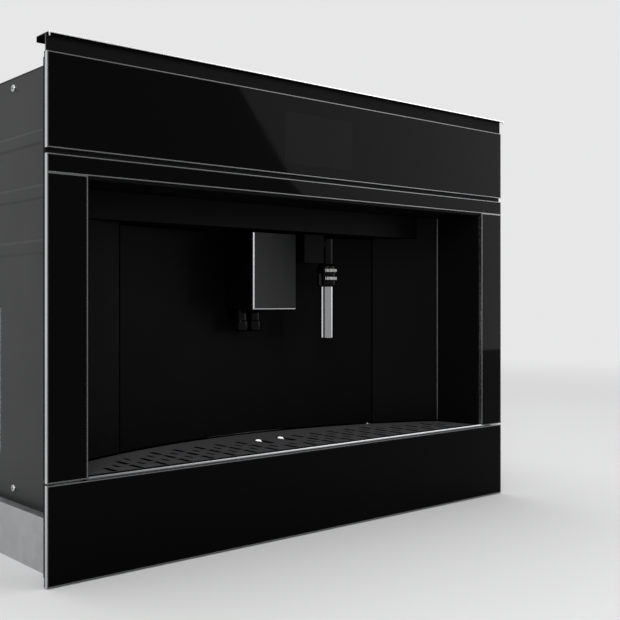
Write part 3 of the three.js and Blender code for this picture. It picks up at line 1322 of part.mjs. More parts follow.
  // The rocker tilts about its middle; at rest its lower half stands out.
  const rockerGroup = new THREE.Group();
  const tilt = THREE.MathUtils.degToRad(SWITCH_TILT);
  const reach = SWITCH_HEIGHT / 2 - GAP;
  const proud = ROCKER_SEAT + SHEET;
  const faceEnd = proud + reach * Math.tan(tilt);
  const section = [
    [-proud / 2, -reach / 2],
    [faceEnd, -reach],
    [proud, 0],
    [faceEnd, reach],
    [-proud / 2, reach / 2],
  ];
  const rocker = add(rockerGroup, "main_switch", alongX(section, span(SWITCH_WIDTH / 2)), "blackPlastic");
  rocker.position.set(switchAt, flangeBack - ROCKER_SEAT, INLET_Z);
  rocker.rotation.x = tilt;
  return [group, rockerGroup];
}

// ---------------------------------------------------------------- the whole machine

const whole = new THREE.Group();
const moved = new THREE.Group();
const [cabinetRails, midRails, innerRails] = rails();
moved.add(
  cabinetRails,
  midRails,
  innerRails,
  frontPanels(),
  chassis(),
  recess(),
  drawer(),
  cupGrille(),
  levelFloat(),
  serviceDoor(),
  spout(),
  ...steamWand(),
  ...brewUnit(),
  ...grinder(),
  ...waterTank(),
  ...works(),
);
const box = new THREE.Box3().setFromObject(moved);
moved.position.set(0, -(box.min.y + box.max.y) / 2, -box.min.z);
whole.add(moved);

export default whole;
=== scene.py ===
"""The looks of a built-in coffee machine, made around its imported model.

Metres, +Z up. The glass front faces -Y and +X is to the right of someone who looks at it.
"""

import json
import math

import bmesh
import bpy
from mathutils import Matrix, Quaternion, Vector


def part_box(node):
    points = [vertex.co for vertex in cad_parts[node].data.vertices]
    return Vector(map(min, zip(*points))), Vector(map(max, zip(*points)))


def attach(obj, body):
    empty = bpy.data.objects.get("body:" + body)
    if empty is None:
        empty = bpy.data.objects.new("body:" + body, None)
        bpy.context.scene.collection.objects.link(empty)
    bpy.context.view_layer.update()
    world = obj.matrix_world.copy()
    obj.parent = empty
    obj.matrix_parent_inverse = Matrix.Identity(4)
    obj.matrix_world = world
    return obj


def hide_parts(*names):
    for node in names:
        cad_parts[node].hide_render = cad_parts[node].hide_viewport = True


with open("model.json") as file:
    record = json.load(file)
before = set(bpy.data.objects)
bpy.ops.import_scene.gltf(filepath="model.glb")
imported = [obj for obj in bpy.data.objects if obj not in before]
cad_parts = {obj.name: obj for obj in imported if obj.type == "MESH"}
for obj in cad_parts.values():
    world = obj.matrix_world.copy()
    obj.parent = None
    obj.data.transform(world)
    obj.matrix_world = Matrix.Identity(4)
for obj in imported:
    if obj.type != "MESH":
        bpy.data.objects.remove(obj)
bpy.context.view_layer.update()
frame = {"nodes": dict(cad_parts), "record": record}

MM = 0.001
WELD = 0.002 * MM  # points of a copied node that are closer than this are one point
FLAT = math.radians(0.5)  # faces that meet at less than this are one flat face
SHARP = math.radians(24)  # edges that turn by more than this are rounded
SQUARE = math.radians(60)  # edges that turn by more than this are a sheet's own edges
CREASE = math.radians(50)  # shading breaks at edges that turn by more than this


def mm(*lengths):
    """Lengths given in millimetres."""
    return tuple(length * MM for length in lengths)


# ------------------------------ camera, lights and floor

CAMERA_AT = (-0.6447, -0.9245, 0.236)
CAMERA_TURN = math.radians(-41.05)
CAMERA_LENS = 55.16
CAMERA_SENSOR = 36
HORIZON_SHIFT = -0.0145
PALE = (0.8, 0.8, 0.805, 1)
WORLD_LIGHT = 0.55
FLOOR_COLOUR = (0.66, 0.66, 0.665, 1)
FLOOR_RADIUS = 12
FLOOR_FADE = (0.7, 3.0)  # distances at which the floor starts and ends to turn into the background


def in_scene(name, data):
    """A new object of the scene."""
    made = bpy.data.objects.new(name, data)
    bpy.context.scene.collection.objects.link(made)
    return made


def make_camera():
    data = bpy.data.cameras.new("camera")
    data.lens = CAMERA_LENS
    data.sensor_width = CAMERA_SENSOR
    data.shift_y = HORIZON_SHIFT
    camera = in_scene("camera", data)
    camera.location = CAMERA_AT
    camera.rotation_euler = (math.pi / 2, 0, CAMERA_TURN)
    bpy.context.scene.camera = camera


def softbox(name, at, target, size, watts, roll=0.0):
    """A rectangular lamp that faces a target; the roll turns it about its own axis."""
    data = bpy.data.lights.new(name, "AREA")
    data.shape = "RECTANGLE"
    data.size, data.size_y = size
    data.energy = watts
    lamp = in_scene(name, data)
    lamp.location = at
    direction = Vector(target) - Vector(at)
    facing_it = direction.to_track_quat("-Z", "Y") @ Quaternion((0, 0, 1), roll)
    lamp.rotation_euler = facing_it.to_euler()
    lamp.visible_camera = False


def make_world():
    """White light from all sides; the camera, mirrors and glass see a pale background."""
    world = bpy.data.worlds.new("studio")
    bpy.context.scene.world = world
    world.use_nodes = True
    tree = world.node_tree
    tree.nodes.clear()
    path = wired(tree, "LightPath").outputs
    seen = calculate(tree, "MAXIMUM", path["Is Camera Ray"], path["Is Glossy Ray"])
    through = calculate(tree, "MAXIMUM", seen, path["Is Transmission Ray"])
    light = wired(tree, "Background", {"Color": (1, 1, 1, 1), "Strength": WORLD_LIGHT})
    shown = wired(tree, "Background", {"Color": PALE, "Strength": 1})
    mixed_by(tree, through, light, shown, "OutputWorld")


def make_floor():
    """A pale floor that turns into the pale background further away."""
    shape = bmesh.new()
    bmesh.ops.create_circle(shape, cap_ends=True, segments=64, radius=FLOOR_RADIUS)
    mesh = mesh_of(shape, "floor")
    floor = in_scene("floor", mesh)
    material = bpy.data.materials.new("floor")
    material.use_nodes = True
    tree = material.node_tree
    tree.nodes.clear()
    place = wired(tree, "TexCoord").outputs["Object"]
    distance = wired(tree, "VectorMath", {0: place}, operation="LENGTH").outputs["Value"]
    fade = ramp(tree, distance, *FLOOR_FADE, interpolation_type="SMOOTHSTEP")
    matte = wired(tree, "BsdfDiffuse", {"Color": FLOOR_COLOUR})
    far = wired(tree, "Emission", {"Color": PALE})
    mixed_by(tree, fade, matte, far, "OutputMaterial")
    mesh.materials.append(material)


def make_studio():
    scene = bpy.context.scene
    scene.view_settings.view_transform = "Standard"
    make_camera()
    make_world()
    make_floor()
    make_studio_lamps()


def make_studio_lamps():
    """The fill leans, so the panes of glass show its slanted edge. The last lamp is small and
    stands behind the steam wand's left side, where it draws a line of light on the chrome."""
    softbox("key", at=(-1.6, -2.2, 1.9), target=(0, 0, 0.25), size=(1.4, 1.0), watts=46)
    softbox(
        "slanted_fill",
        at=(2.45, -2.375, 1.33),
        target=(2.45, 0, 1.33),
        size=(1.8, 3.0),
        watts=42,
        roll=math.radians(38.1),
    )
    softbox("top", at=(0, 0.3, 2.4), target=(0, 0, 0.2), size=(1.6, 1.6), watts=26)
    softbox(
        "wand_rim",
        at=(0.0415, -0.0942, 0.223),
        target=(0.0856, -0.1152, 0.223),
        size=(0.026, 0.09),
        watts=0.0125,
    )


# ------------------------------ shader nodes and groups


def wired(tree, kind, inputs=None, **settings):
    """A shader node; each of its inputs is a value or the socket that feeds it."""
    node = tree.nodes.new("ShaderNode" + kind)
    for name, value in settings.items():
        setattr(node, name, value)
    for name, value in (inputs or {}).items():
        if isinstance(value, bpy.types.NodeSocket):
            tree.links.new(value, node.inputs[name])
        else:
            node.inputs[name].default_value = value
    return node


def calculate(tree, operation, *values):
    """A math node; each value is a number or the socket that feeds it."""
    return wired(tree, "Math", dict(enumerate(values)), operation=operation).outputs[0]


def ramp(tree, value, start, end, **settings):
    """0 up to start and 1 from end on."""
    limits = {"Value": value, "From Min": start, "From Max": end}
    return wired(tree, "MapRange", limits, **settings).outputs["Result"]


def mixed_by(tree, mask, first, second, output):
    """Ends a tree with a mix that goes from the first shader to the second."""
    mix = wired(tree, "MixShader", {0: mask, 1: first.outputs[0], 2: second.outputs[0]})
    wired(tree, output, {"Surface": mix.outputs[0]})


def new_group(name, outputs, **inputs):
    """A shader group with number outputs. Its inputs are named with their defaults, and an
    input without one is a vector."""
    tree = bpy.data.node_groups.new(name, "ShaderNodeTree")
    for socket, default in inputs.items():
        kind = "NodeSocketVector" if default is None else "NodeSocketFloat"
        made = tree.interface.new_socket(socket, in_out="INPUT", socket_type=kind)
        if default is not None:
            made.default_value = default
    for socket in outputs:
        tree.interface.new_socket(socket, in_out="OUTPUT", socket_type="NodeSocketFloat")
    return tree, tree.nodes.new("NodeGroupInput").outputs, tree.nodes.new("NodeGroupOutput").inputs


def noise(tree, vector, scale, detail=4.0, roughness=0.55):
    inputs = {"Vector": vector, "Scale": scale, "Detail": detail, "Roughness": roughness}
    return wired(tree, "TexNoise", inputs).outputs["Fac"]


def varied(tree, given, pattern):
    """A group's roughness, changed by its variation where the pattern is high or low."""
    centred = calculate(tree, "SUBTRACT", pattern, 0.5)
    shift = calculate(tree, "MULTIPLY", centred, given["Variation"])
    return calculate(tree, "ADD", given["Roughness"], calculate(tree, "MULTIPLY", shift, 2.0))


def make_brushed_grain():
    """Fine parallel scratches. The vector comes stretched along them."""
    outputs = ("Roughness", "Height", "Tone")
    tree, given, result = new_group(
        "brushed_grain", outputs, Vector=None, Roughness=0.3, Variation=0.1
    )
    fine = noise(tree, given["Vector"], 1.0, detail=3.0)
    broad = noise(tree, given["Vector"], 0.18, detail=2.0)
    fine_part = calculate(tree, "MULTIPLY", fine, 0.7)
    both = calculate(tree, "ADD", fine_part, calculate(tree, "MULTIPLY", broad, 0.3))
    for pattern, output in zip((varied(tree, given, both), both, both), outputs):
        tree.links.new(pattern, result[output])
    return tree


def make_moulded_texture():
    """The fine matte texture of a moulding or of powder paint."""
    tree, given, result = new_group(
        "moulded_texture",
        ("Roughness", "Height"),
        Vector=None,
        Scale=900.0,
        Roughness=0.5,
        Variation=0.08,
    )
    grain = noise(tree, given["Vector"], given["Scale"], detail=2.0, roughness=0.6)
    cloud = noise(tree, given["Vector"], 14.0, detail=3.0, roughness=0.5)
    tree.links.new(varied(tree, given, cloud), result["Roughness"])
    tree.links.new(grain, result["Height"])
    return tree


def make_edge_polish():
    """1 along outer edges, where handling has polished the surface, and 0 elsewhere."""
    steepness = 6.0
    tree, given, result = new_group("edge_polish", ("Mask",), Width=0.6 * MM, Amount=1.0)
    rounded_off = wired(tree, "Bevel", {"Radius": given["Width"]}, samples=4).outputs["Normal"]
    true = wired(tree, "NewGeometry").outputs["Normal"]
    dot = wired(tree, "VectorMath", {0: rounded_off, 1: true}, operation="DOT_PRODUCT")
    turned_away = calculate(tree, "SUBTRACT", 1.0, dot.outputs["Value"])
    limited = calculate(tree, "MINIMUM", calculate(tree, "MULTIPLY", turned_away, steepness), 1.0)
    tree.links.new(calculate(tree, "MULTIPLY", limited, given["Amount"]), result["Mask"])
    return tree


def make_dust():
    """Soft patches of dust and wiping marks, 0 to Amount."""
    clean_up_to, full_from = 0.42, 0.72
    tree, given, result = new_group("dust", ("Mask",), Vector=None, Scale=9.0, Amount=0.5)
    patches = noise(tree, given["Vector"], given["Scale"], detail=5.0, roughness=0.62)
    share = ramp(tree, patches, clean_up_to, full_from)
    tree.links.new(calculate(tree, "MULTIPLY", share, given["Amount"]), result["Mask"])
    return tree


def make_spangle():
    """The crystal pattern of a zinc coating: each crystal has its own tone."""
    tree, given, result = new_group("zinc_spangle", ("Tone",), Vector=None, Scale=70.0)
    place = {"Vector": given["Vector"], "Scale": given["Scale"]}
    crystals = wired(tree, "TexVoronoi", place).outputs["Color"]
    tree.links.new(wired(tree, "SeparateColor", {0: crystals}).outputs[0], result["Tone"])
    return tree


# ------------------------------ materials

GRAIN_ALONG_X = (6, 1400, 1400)  # a brushed grain's frequency along X, Y and Z
GRAIN_UPRIGHT = (1500, 1500, 5)
GRAIN_DEPTH = 0.004 * MM


class Finish:
    """A material under construction: its tree, its Principled shader and Object coordinates."""

    def __init__(self, name, colour, roughness, metallic=0.0):
        self.material = bpy.data.materials.new(name)
        self.material.use_nodes = True
        self.tree = self.material.node_tree
        self.shader = self.tree.nodes["Principled BSDF"]
        self.colour, self.roughness = (*colour, 1.0), roughness
        self.set("Base Color", self.colour)
        self.set("Roughness", roughness)
        self.set("Metallic", metallic)
        self.coordinates = wired(self.tree, "TexCoord").outputs
        self.place = self.coordinates["Object"]

    def set(self, socket, value):
        self.shader.inputs[socket].default_value = value

    def link(self, output, socket):
        self.tree.links.new(output, self.shader.inputs[socket])

    def calculate(self, operation, *values):
        return calculate(self.tree, operation, *values)

    def group(self, name, **values):
        return wired(self.tree, "Group", values, node_tree=GROUPS[name]).outputs

    def textured(self, name, scale, **values):
        """A group that follows the Object coordinates."""
        return self.group(name, Vector=self.place, Scale=scale, **values)

    def grain(self, stretch, variation):
        """A brushed grain; the stretch is its frequency along X, Y and Z."""
        mapping = wired(self.tree, "Mapping", {"Vector": self.place, "Scale": stretch})
        vector = mapping.outputs["Vector"]
        return self.group("grain", Vector=vector, Roughness=self.roughness, Variation=variation)

    def mixed(self, mask, first, second):
        """A colour that goes from first to second as the mask goes from 0 to 1."""
        factor, one, two, result = 0, 6, 7, 2  # a mix node's sockets for colours
        sockets = {factor: mask, one: first, two: second}
        return wired(self.tree, "Mix", sockets, data_type="RGBA").outputs[result]

    def ramp(self, value, start, end):
        return ramp(self.tree, value, start, end)

    def along(self, axis, vector):
        return wired(self.tree, "SeparateXYZ", {0: vector}).outputs[axis]

    def facing_front(self, start, end):
        """0 where the surface turns away from the front and 1 where it faces it."""
        return self.ramp(self.along("Y", self.coordinates["Normal"]), start, end)

    def bump(self, height, distance):
        bump = wired(self.tree, "Bump", {"Height": height, "Distance": distance})
        self.link(bump.outputs["Normal"], "Normal")


def scaled(colour, factor):
    return tuple(min(1.0, part * factor) for part in colour[:3]) + (1.0,)


def brushed(name, colour, roughness, stretch, variation=0.08, depth=GRAIN_DEPTH):
    """Metal with a grain, polished a little along its edges."""
    finish = Finish(name, colour, roughness, 1.0)
    grain = finish.grain(stretch, variation)
    edge = finish.group("edge", Width=0.5 * MM, Amount=0.5)
    smoother = finish.calculate("MULTIPLY", edge["Mask"], -0.4 * roughness)
    finish.link(finish.calculate("ADD", grain["Roughness"], smoother), "Roughness")
    darker, paler = scaled(finish.colour, 0.9), scaled(finish.colour, 1.08)
    finish.link(finish.mixed(grain["Tone"], darker, paler), "Base Color")
    finish.bump(grain["Height"], depth)
    return finish.material


def moulded(
    name,
    colour,
    roughness,
    grain=1100.0,
    depth=0.012 * MM,
    variation=0.06,
    metallic=0.0,
    lift=1.5,
    level=0.4,
):
    """Matte moulded plastic or powder paint, a little worn along its edges."""
    finish = Finish(name, colour, roughness, metallic)
    finish.set("Specular IOR Level", level)
    texture = finish.textured("moulded", grain, Roughness=roughness, Variation=variation)
    edge = finish.group("edge", Width=0.6 * MM, Amount=0.6)
    smoother = finish.calculate("MULTIPLY", edge["Mask"], -0.35 * roughness)
    finish.link(finish.calculate("ADD", texture["Roughness"], smoother), "Roughness")
    dust = finish.textured("dust", 11.0, Amount=0.35)
    tone = finish.calculate("MAXIMUM", dust["Mask"], edge["Mask"])
    finish.link(finish.mixed(tone, finish.colour, scaled(finish.colour, lift)), "Base Color")
    finish.bump(texture["Height"], depth)
    return finish.material


def glossy(name, colour, roughness, smears=0.05, level=0.5):
    """Polished plastic or glass with faint wiping marks."""
    finish = Finish(name, colour, roughness)
    finish.set("Specular IOR Level", level)
    dust = finish.textured("dust", 16.0, Amount=smears)
    finish.link(finish.calculate("ADD", roughness, dust["Mask"]), "Roughness")
    finish.link(finish.mixed(dust["Mask"], finish.colour, scaled(finish.colour, 2.0)), "Base Color")
    return finish


def frame_steel():
    """The frames' trim: bright at its sides, with painted shade where it faces the front, and painted
    black behind.
    """
    trim_depth, fade = mm(4, 0.1)
    # The second colour is painted shade for the faces that face the front.
    bright, front_shade = (0.6, 0.61, 0.62, 1.0), (0.12, 0.122, 0.125, 1.0)
    paint = (0.004, 0.004, 0.0042, 1.0)
    finish = Finish("frame_steel", bright[:3], 0.26, 1.0)
    grain = finish.grain(GRAIN_ALONG_X, 0.08)
    trim_back = FRONT + trim_depth
    behind = finish.ramp(finish.along("Y", finish.place), trim_back - fade, trim_back + fade)
    # Painted shade: the faces that face the front take the darker steel colour.
    steel = finish.mixed(finish.facing_front(-0.4, -0.9), bright, front_shade)
    finish.link(finish.mixed(behind, steel, paint), "Base Color")
    finish.link(finish.calculate("SUBTRACT", 1.0, behind), "Metallic")
    rougher = finish.calculate("MULTIPLY", behind, 0.3)
    finish.link(finish.calculate("ADD", grain["Roughness"], rougher), "Roughness")
    finish.set("Specular IOR Level", 0.06)
    finish.bump(grain["Height"], GRAIN_DEPTH)
    return finish.material


def rim_steel():
    """The tray's rim: bright above and along its upper edge, with painted shade on the lower part of its
    front.
    The upper edge has painted shade that darkens it towards its left end."""
    bright_edge, fade = mm(1.3, 0.4)
    # The second colour is painted shade for the left end of the upper edge.
    bright, left_end_shade = (0.68, 0.69, 0.7, 1.0), (0.2, 0.203, 0.207, 1.0)
    # Painted shade for the lower part of the front.
    front_shade = (0.06, 0.061, 0.063, 1.0)
    rim = Place("tray_rim")
    edge = rim.z[1] - bright_edge
    finish = Finish("rim_steel", bright[:3], 0.22, 1.0)
    grain = finish.grain(GRAIN_ALONG_X, 0.08)
    low = finish.ramp(finish.along("Z", finish.place), edge, edge - fade)
    lower_front_shade = finish.calculate("MULTIPLY", finish.facing_front(-0.3, -0.8), low)
    rightwards = finish.ramp(finish.along("X", finish.place), rim.x[0], rim.middle.x)
    # Painted shade: the upper edge darkens towards its left end.
    upper = finish.mixed(rightwards, left_end_shade, bright)
    # Painted shade on the lower part of the front.
    finish.link(finish.mixed(lower_front_shade, upper, front_shade), "Base Color")
    finish.link(grain["Roughness"], "Roughness")
    finish.bump(grain["Height"], GRAIN_DEPTH)
    return finish.material


def grille_metal():
    """Satin metal above; below its top face the grille is painted black as shade, so its slots look dark
    inside.
    """
    roughness, skin = 0.42, 0.05 * MM
    satin, dusty = (0.064, 0.0645, 0.067, 1.0), (0.078, 0.0785, 0.082, 1.0)
    # Painted shade: the colour for everything below the top face, where the slots' walls are.
    black = (0.0006, 0.0006, 0.0007, 1.0)
    top = Place("cup_grille").z[1]
    finish = Finish("grille_metal", satin[:3], roughness)
    finish.set("Specular IOR Level", 0.03)
    texture = finish.textured("moulded", 900.0, Roughness=roughness, Variation=0.06)
    dust = finish.textured("dust", 11.0, Amount=0.35)
    # Painted shade below the top face, in the slots.
    above = finish.ramp(finish.along("Z", finish.place), top - 2 * skin, top - skin)
    finish.link(
        finish.mixed(above, black, finish.mixed(dust["Mask"], satin, dusty)), "Base Color"
    )
    below = finish.calculate("SUBTRACT", 1.0, above)
    rougher = finish.calculate("MULTIPLY", below, 0.5)
    finish.link(finish.calculate("ADD", texture["Roughness"], rougher), "Roughness")
    finish.bump(texture["Height"], 0.006 * MM)
    return finish.material


def spout_steel():
    """Dark upright brushing, with painted light that makes it paler towards the lower left."""
    plate = Place("spout_front_plate")
    # The paler colour is painted light for the plate's lower left.
    deep, pale = (0.0026, 0.0027, 0.0028, 1.0), (0.026, 0.0264, 0.0273, 1.0)
    finish = Finish("spout_steel", deep[:3], 0.34, 1.0)
    grain = finish.grain(GRAIN_UPRIGHT, 0.07)
    across = finish.ramp(finish.along("X", finish.place), plate.x[1], plate.x[0])
    down = finish.ramp(finish.along("Z", finish.place), plate.z[1], plate.z[0])
    # Painted light: the plate grows paler towards its lower left.
    lower_left_light = finish.calculate("MULTIPLY", finish.calculate("ADD", across, down), 0.5)
    centred = finish.calculate("SUBTRACT", grain["Tone"], 0.5)
    fine = finish.calculate("MULTIPLY", centred, 0.3)
    finish.link(finish.mixed(finish.calculate("ADD", lower_left_light, fine), deep, pale), "Base Color")
    finish.link(grain["Roughness"], "Roughness")
    finish.bump(grain["Height"], GRAIN_DEPTH)
    return finish.material


def zinc_sheet():
    """Zinc-coated sheet: its crystals differ in tone and in roughness, under some dust."""
    colour, roughness, tone_share, roughness_share = (0.45, 0.46, 0.47), 0.42, 0.55, 0.14
    finish = Finish("zinc_sheet", colour, roughness, 1.0)
    spangle = finish.textured("spangle", 85.0)["Tone"]
    dust = finish.textured("dust", 7.0, Amount=0.5)
    tone = finish.calculate("MULTIPLY", spangle, tone_share)
    tone = finish.calculate("ADD", tone, dust["Mask"])
    finish.link(finish.mixed(tone, scaled(colour, 0.86), scaled(colour, 1.14)), "Base Color")
    shift = finish.calculate("MULTIPLY", spangle, roughness_share)
    finish.link(finish.calculate("ADD", shift, roughness - roughness_share / 2), "Roughness")
    finish.bump(noise(finish.tree, finish.place, 260.0), 0.006 * MM)
    return finish.material


def make_materials():
    made = {
        "stainless": brushed("stainless", (0.66, 0.67, 0.68), 0.24, GRAIN_ALONG_X),
        "brushed_steel": brushed(
            "brushed_steel", (0.5, 0.505, 0.515), 0.26, GRAIN_UPRIGHT, variation=0.07
        ),
        "spout_steel": spout_steel(),
        # A copy of stainless, darkened with painted shade, for steel in the recess and in the grip's
        # groove.
        "shaded_steel": brushed("shaded_steel", (0.13, 0.132, 0.136), 0.32, (1400, 1400, 6)),
        "frame_steel": frame_steel(),
        "chrome": brushed(
            "chrome", (0.3, 0.304, 0.308), 0.1, (40, 40, 900), variation=0.02, depth=0.001 * MM
        ),
        "grille_metal": grille_metal(),
        "rim_steel": rim_steel(),
        "aluminium": moulded(
            "aluminium",
            (0.5, 0.505, 0.515),
            0.45,
            grain=700.0,
            depth=0.03 * MM,
            variation=0.1,
            metallic=1.0,
            lift=1.2,
        ),
        "screw_steel": moulded(
            "screw_steel",
            (0.52, 0.525, 0.53),
            0.32,
            grain=500.0,
            depth=0.004 * MM,
            variation=0.08,
            metallic=1.0,
            lift=1.1,
        ),
        "zinc_sheet": zinc_sheet(),
        "dark_sheet": moulded(
            "dark_sheet",
            (0.024, 0.0245, 0.0255),
            0.5,
            grain=1300.0,
            depth=0.01 * MM,
            lift=1.25,
            level=0.25,
        ),
        "black_metal": moulded(
            "black_metal", (0.002, 0.002, 0.0021), 0.46, grain=1500.0, depth=0.008 * MM, level=0.04
        ),
        "black_plastic": moulded("black_plastic", (0.0015, 0.0015, 0.0016), 0.5, level=0.03),
        "grey_plastic": moulded("grey_plastic", (0.09, 0.092, 0.1), 0.5),
        "white_plastic": moulded("white_plastic", (0.78, 0.78, 0.76), 0.35, lift=1.05),
        "orange_plastic": moulded("orange_plastic", (0.58, 0.09, 0.015), 0.4, lift=1.15),
        "circuit_board": moulded("circuit_board", (0.012, 0.07, 0.035), 0.5, lift=1.3),
        "gloss_plastic": glossy("gloss_plastic", (0.0013, 0.0013, 0.0014), 0.1, level=0.07).material,
        "lamp_lens": glossy("lamp_lens", (0.006, 0.006, 0.006), 0.16, smears=0.02, level=0.12).material,
        "black_glass": glossy(
            "black_glass", (0.0007, 0.0007, 0.0008), 0.03, smears=0.025, level=0.033
        ).material,
        "display_glass": glossy(
            "display_glass", (0.0028, 0.0028, 0.003), 0.04, smears=0.025, level=0.033
        ).material,
    }
    clear = glossy("clear_plastic", (0.45, 0.5, 0.53), 0.08, smears=0.04)
    clear.set("Transmission Weight", 0.85)
    clear.set("IOR", 1.49)
    made["clear_plastic"] = clear.material
    tip = glossy("tip_glow", (0.8, 0.8, 0.79), 0.3, smears=0.02)
    # Painted light: the tips glow, though they are no lamp.
    tip.set("Emission Color", (1.0, 1.0, 0.98, 1.0))
    tip.set("Emission Strength", 0.8)
    made["tip_glow"] = tip.material
    return made


# ------------------------------ mesh tools


def copied(node):
    """A CAD node's mesh, with its points joined and its triangles made whole faces."""
    shape = bmesh.new()
    shape.from_mesh(frame["nodes"][node].data)
    bmesh.ops.remove_doubles(shape, verts=shape.verts, dist=WELD)
    bmesh.ops.dissolve_limit(shape, angle_limit=FLAT, verts=shape.verts, edges=shape.edges)
    return shape


def mesh_of(shape, name):
    """Makes a mesh of a shape, and lets the shape go."""
    mesh = bpy.data.meshes.new(name)
    shape.to_mesh(mesh)
    shape.free()
    return mesh


def bends(edge, least=SHARP):
    """Whether an edge joins two faces and turns by more than an angle."""
    return edge.is_manifold and edge.calc_face_angle() > least


def rounded(shape, radius, segments=2, edges=None):
    """Rounds the given edges, or all that are sharp."""
    if edges is None:
        edges = [e for e in shape.edges if bends(e)]
    bmesh.ops.bevel(
        shape,
        geom=edges,
        offset=radius,
        segments=segments,
        profile=0.5,
        affect="EDGES",
        clamp_overlap=True,
        material=-1,
    )
    return shape


def upright_edges(shape):
    """The sharp edges that run along Z."""
    shortest, furthest_aside, found = 0.5 * MM, 0.01 * MM, []
    for edge in shape.edges:
        low, high = sorted((v.co for v in edge.verts), key=lambda point: point.z)
        sideways = math.hypot(high.x - low.x, high.y - low.y)
        if high.z - low.z > shortest and sideways < furthest_aside and bends(edge):
            found.append(edge)
    return found


def block(x, y, z):
    """A block from its three spans, each (low, high)."""
    shape = bmesh.new()
    bmesh.ops.create_cube(shape, size=1)
    bmesh.ops.scale(shape, vec=(x[1] - x[0], y[1] - y[0], z[1] - z[0]), verts=shape.verts)
    middle = ((x[0] + x[1]) / 2, (y[0] + y[1]) / 2, (z[0] + z[1]) / 2)
    bmesh.ops.translate(shape, vec=middle, verts=shape.verts)
    return shape


def soft_block(x, y, z, radius, segments=3):
    return rounded(block(x, y, z), radius, segments)


def turned(profile, at=(0, 0, 0), steps=48, ring=False):
    """A round piece: (radius, height) points turned about the upright axis through a point."""
    shape = bmesh.new()
    points = [shape.verts.new((radius, 0, height)) for radius, height in profile]
    edges = [shape.edges.new(pair) for pair in zip(points, points[1:])]
    if ring:
        edges.append(shape.edges.new((points[-1], points[0])))
    bmesh.ops.spin(
        shape,
        geom=points + edges,
        cent=(0, 0, 0),
        axis=(0, 0, 1),
        angle=math.tau,
        steps=steps,
        use_merge=True,
    )
    bmesh.ops.remove_doubles(shape, verts=shape.verts, dist=WELD)
    bmesh.ops.recalc_face_normals(shape, faces=shape.faces)
    bmesh.ops.translate(shape, vec=at, verts=shape.verts)
    return shape


def rod(radius, at, rise):
    """An upright round bar with flat ends, at (x, y)."""
    profile = [(0, rise[0]), (radius, rise[0]), (radius, rise[1]), (0, rise[1])]
    return turned(profile, (*at, 0), steps=32)


def tipped(shape, axis, pivot=(0, 0, 0), angle=math.pi / 2):
    """Turns a shape about an axis through a pivot."""
    bmesh.ops.rotate(shape, cent=pivot, matrix=Matrix.Rotation(angle, 3, axis), verts=shape.verts)
    return shape


def together(first, *others):
    """Puts shapes into one piece."""
    for other in others:
        mesh = mesh_of(other, "part")
        first.from_mesh(mesh)
        bpy.data.meshes.remove(mesh)
    return first


def set_out(shape, places):
    """Copies of a shape, one at each place."""
    mesh = mesh_of(shape, "part")
    whole = bmesh.new()
    for place in places:
        before = len(whole.verts)
        whole.from_mesh(mesh)
        whole.verts.ensure_lookup_table()
        bmesh.ops.translate(whole, vec=place, verts=whole.verts[before:])
    bpy.data.meshes.remove(mesh)
    return whole


def finished(shape, name, body, slot, replaces=(), look=None):
    """Makes a shape one of the machine's pieces. Its material is the slot's, or the look's."""
    mesh = mesh_of(shape, name)
    mesh.shade_smooth()
    mesh.set_sharp_from_angle(angle=CREASE)
    mesh.materials.append(MATERIALS[look or slot])
    piece = in_scene(name, mesh)
    weighted = piece.modifiers.new("weighted", "WEIGHTED_NORMAL")
    weighted.keep_sharp = True
    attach(piece, body)
    if replaces:
        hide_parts(*replaces)


BODY_OF = {node: body for body, nodes in frame["record"]["behaviour"]["bodies"].items() for node in nodes}
SLOT_OF = {part["node"]: part["material_slot"] for part in frame["record"]["subparts"]}


def dressed(node, radius=0.3 * MM, segments=2, look=None):
    """A CAD node with its edges rounded, and its own finish."""
    shape = rounded(copied(node), radius, segments)
    finished(shape, node + "_rounded", BODY_OF[node], SLOT_OF[node], [node], look)


def added(shape, name, node, slot, look=None):
    """A detail that moves with a CAD node."""
    finished(shape, name, BODY_OF[node], slot, (), look)


# ------------------------------ places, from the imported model


class Place:
    """Where a CAD node lies: its spans along X, Y and Z, and its middle."""

    def __init__(self, node):
        self.low, self.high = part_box(node)
        self.x, self.y, self.z = ((self.low[i], self.high[i]) for i in range(3))
        self.middle = (Vector(self.low) + Vector(self.high)) / 2
        self.size = Vector(self.high) - Vector(self.low)


def around(middle, half):
    return (middle - half, middle + half)


FRONT = Place("control_panel_glass").y[0]  # the glass front
GROOVE_DEPTH = 1.5 * MM  # the grip's groove behind the glass front
RECESS_HALF = 260 * MM  # half the width of the recess at the front
WALL_RADIUS = 525 * MM  # curved rear wall of the recess, seen from above
WALL_MIDDLE = FRONT - 400 * MM  # where the centre of that curve lies along Y
CORNER_X = 250 * MM  # where the side walls of the recess meet the curved wall
LAMP_RADIUS = 9 * MM


def wall_y(x):
    return WALL_MIDDLE + math.sqrt(WALL_RADIUS * WALL_RADIUS - x * x)


# ------------------------------ small hardware


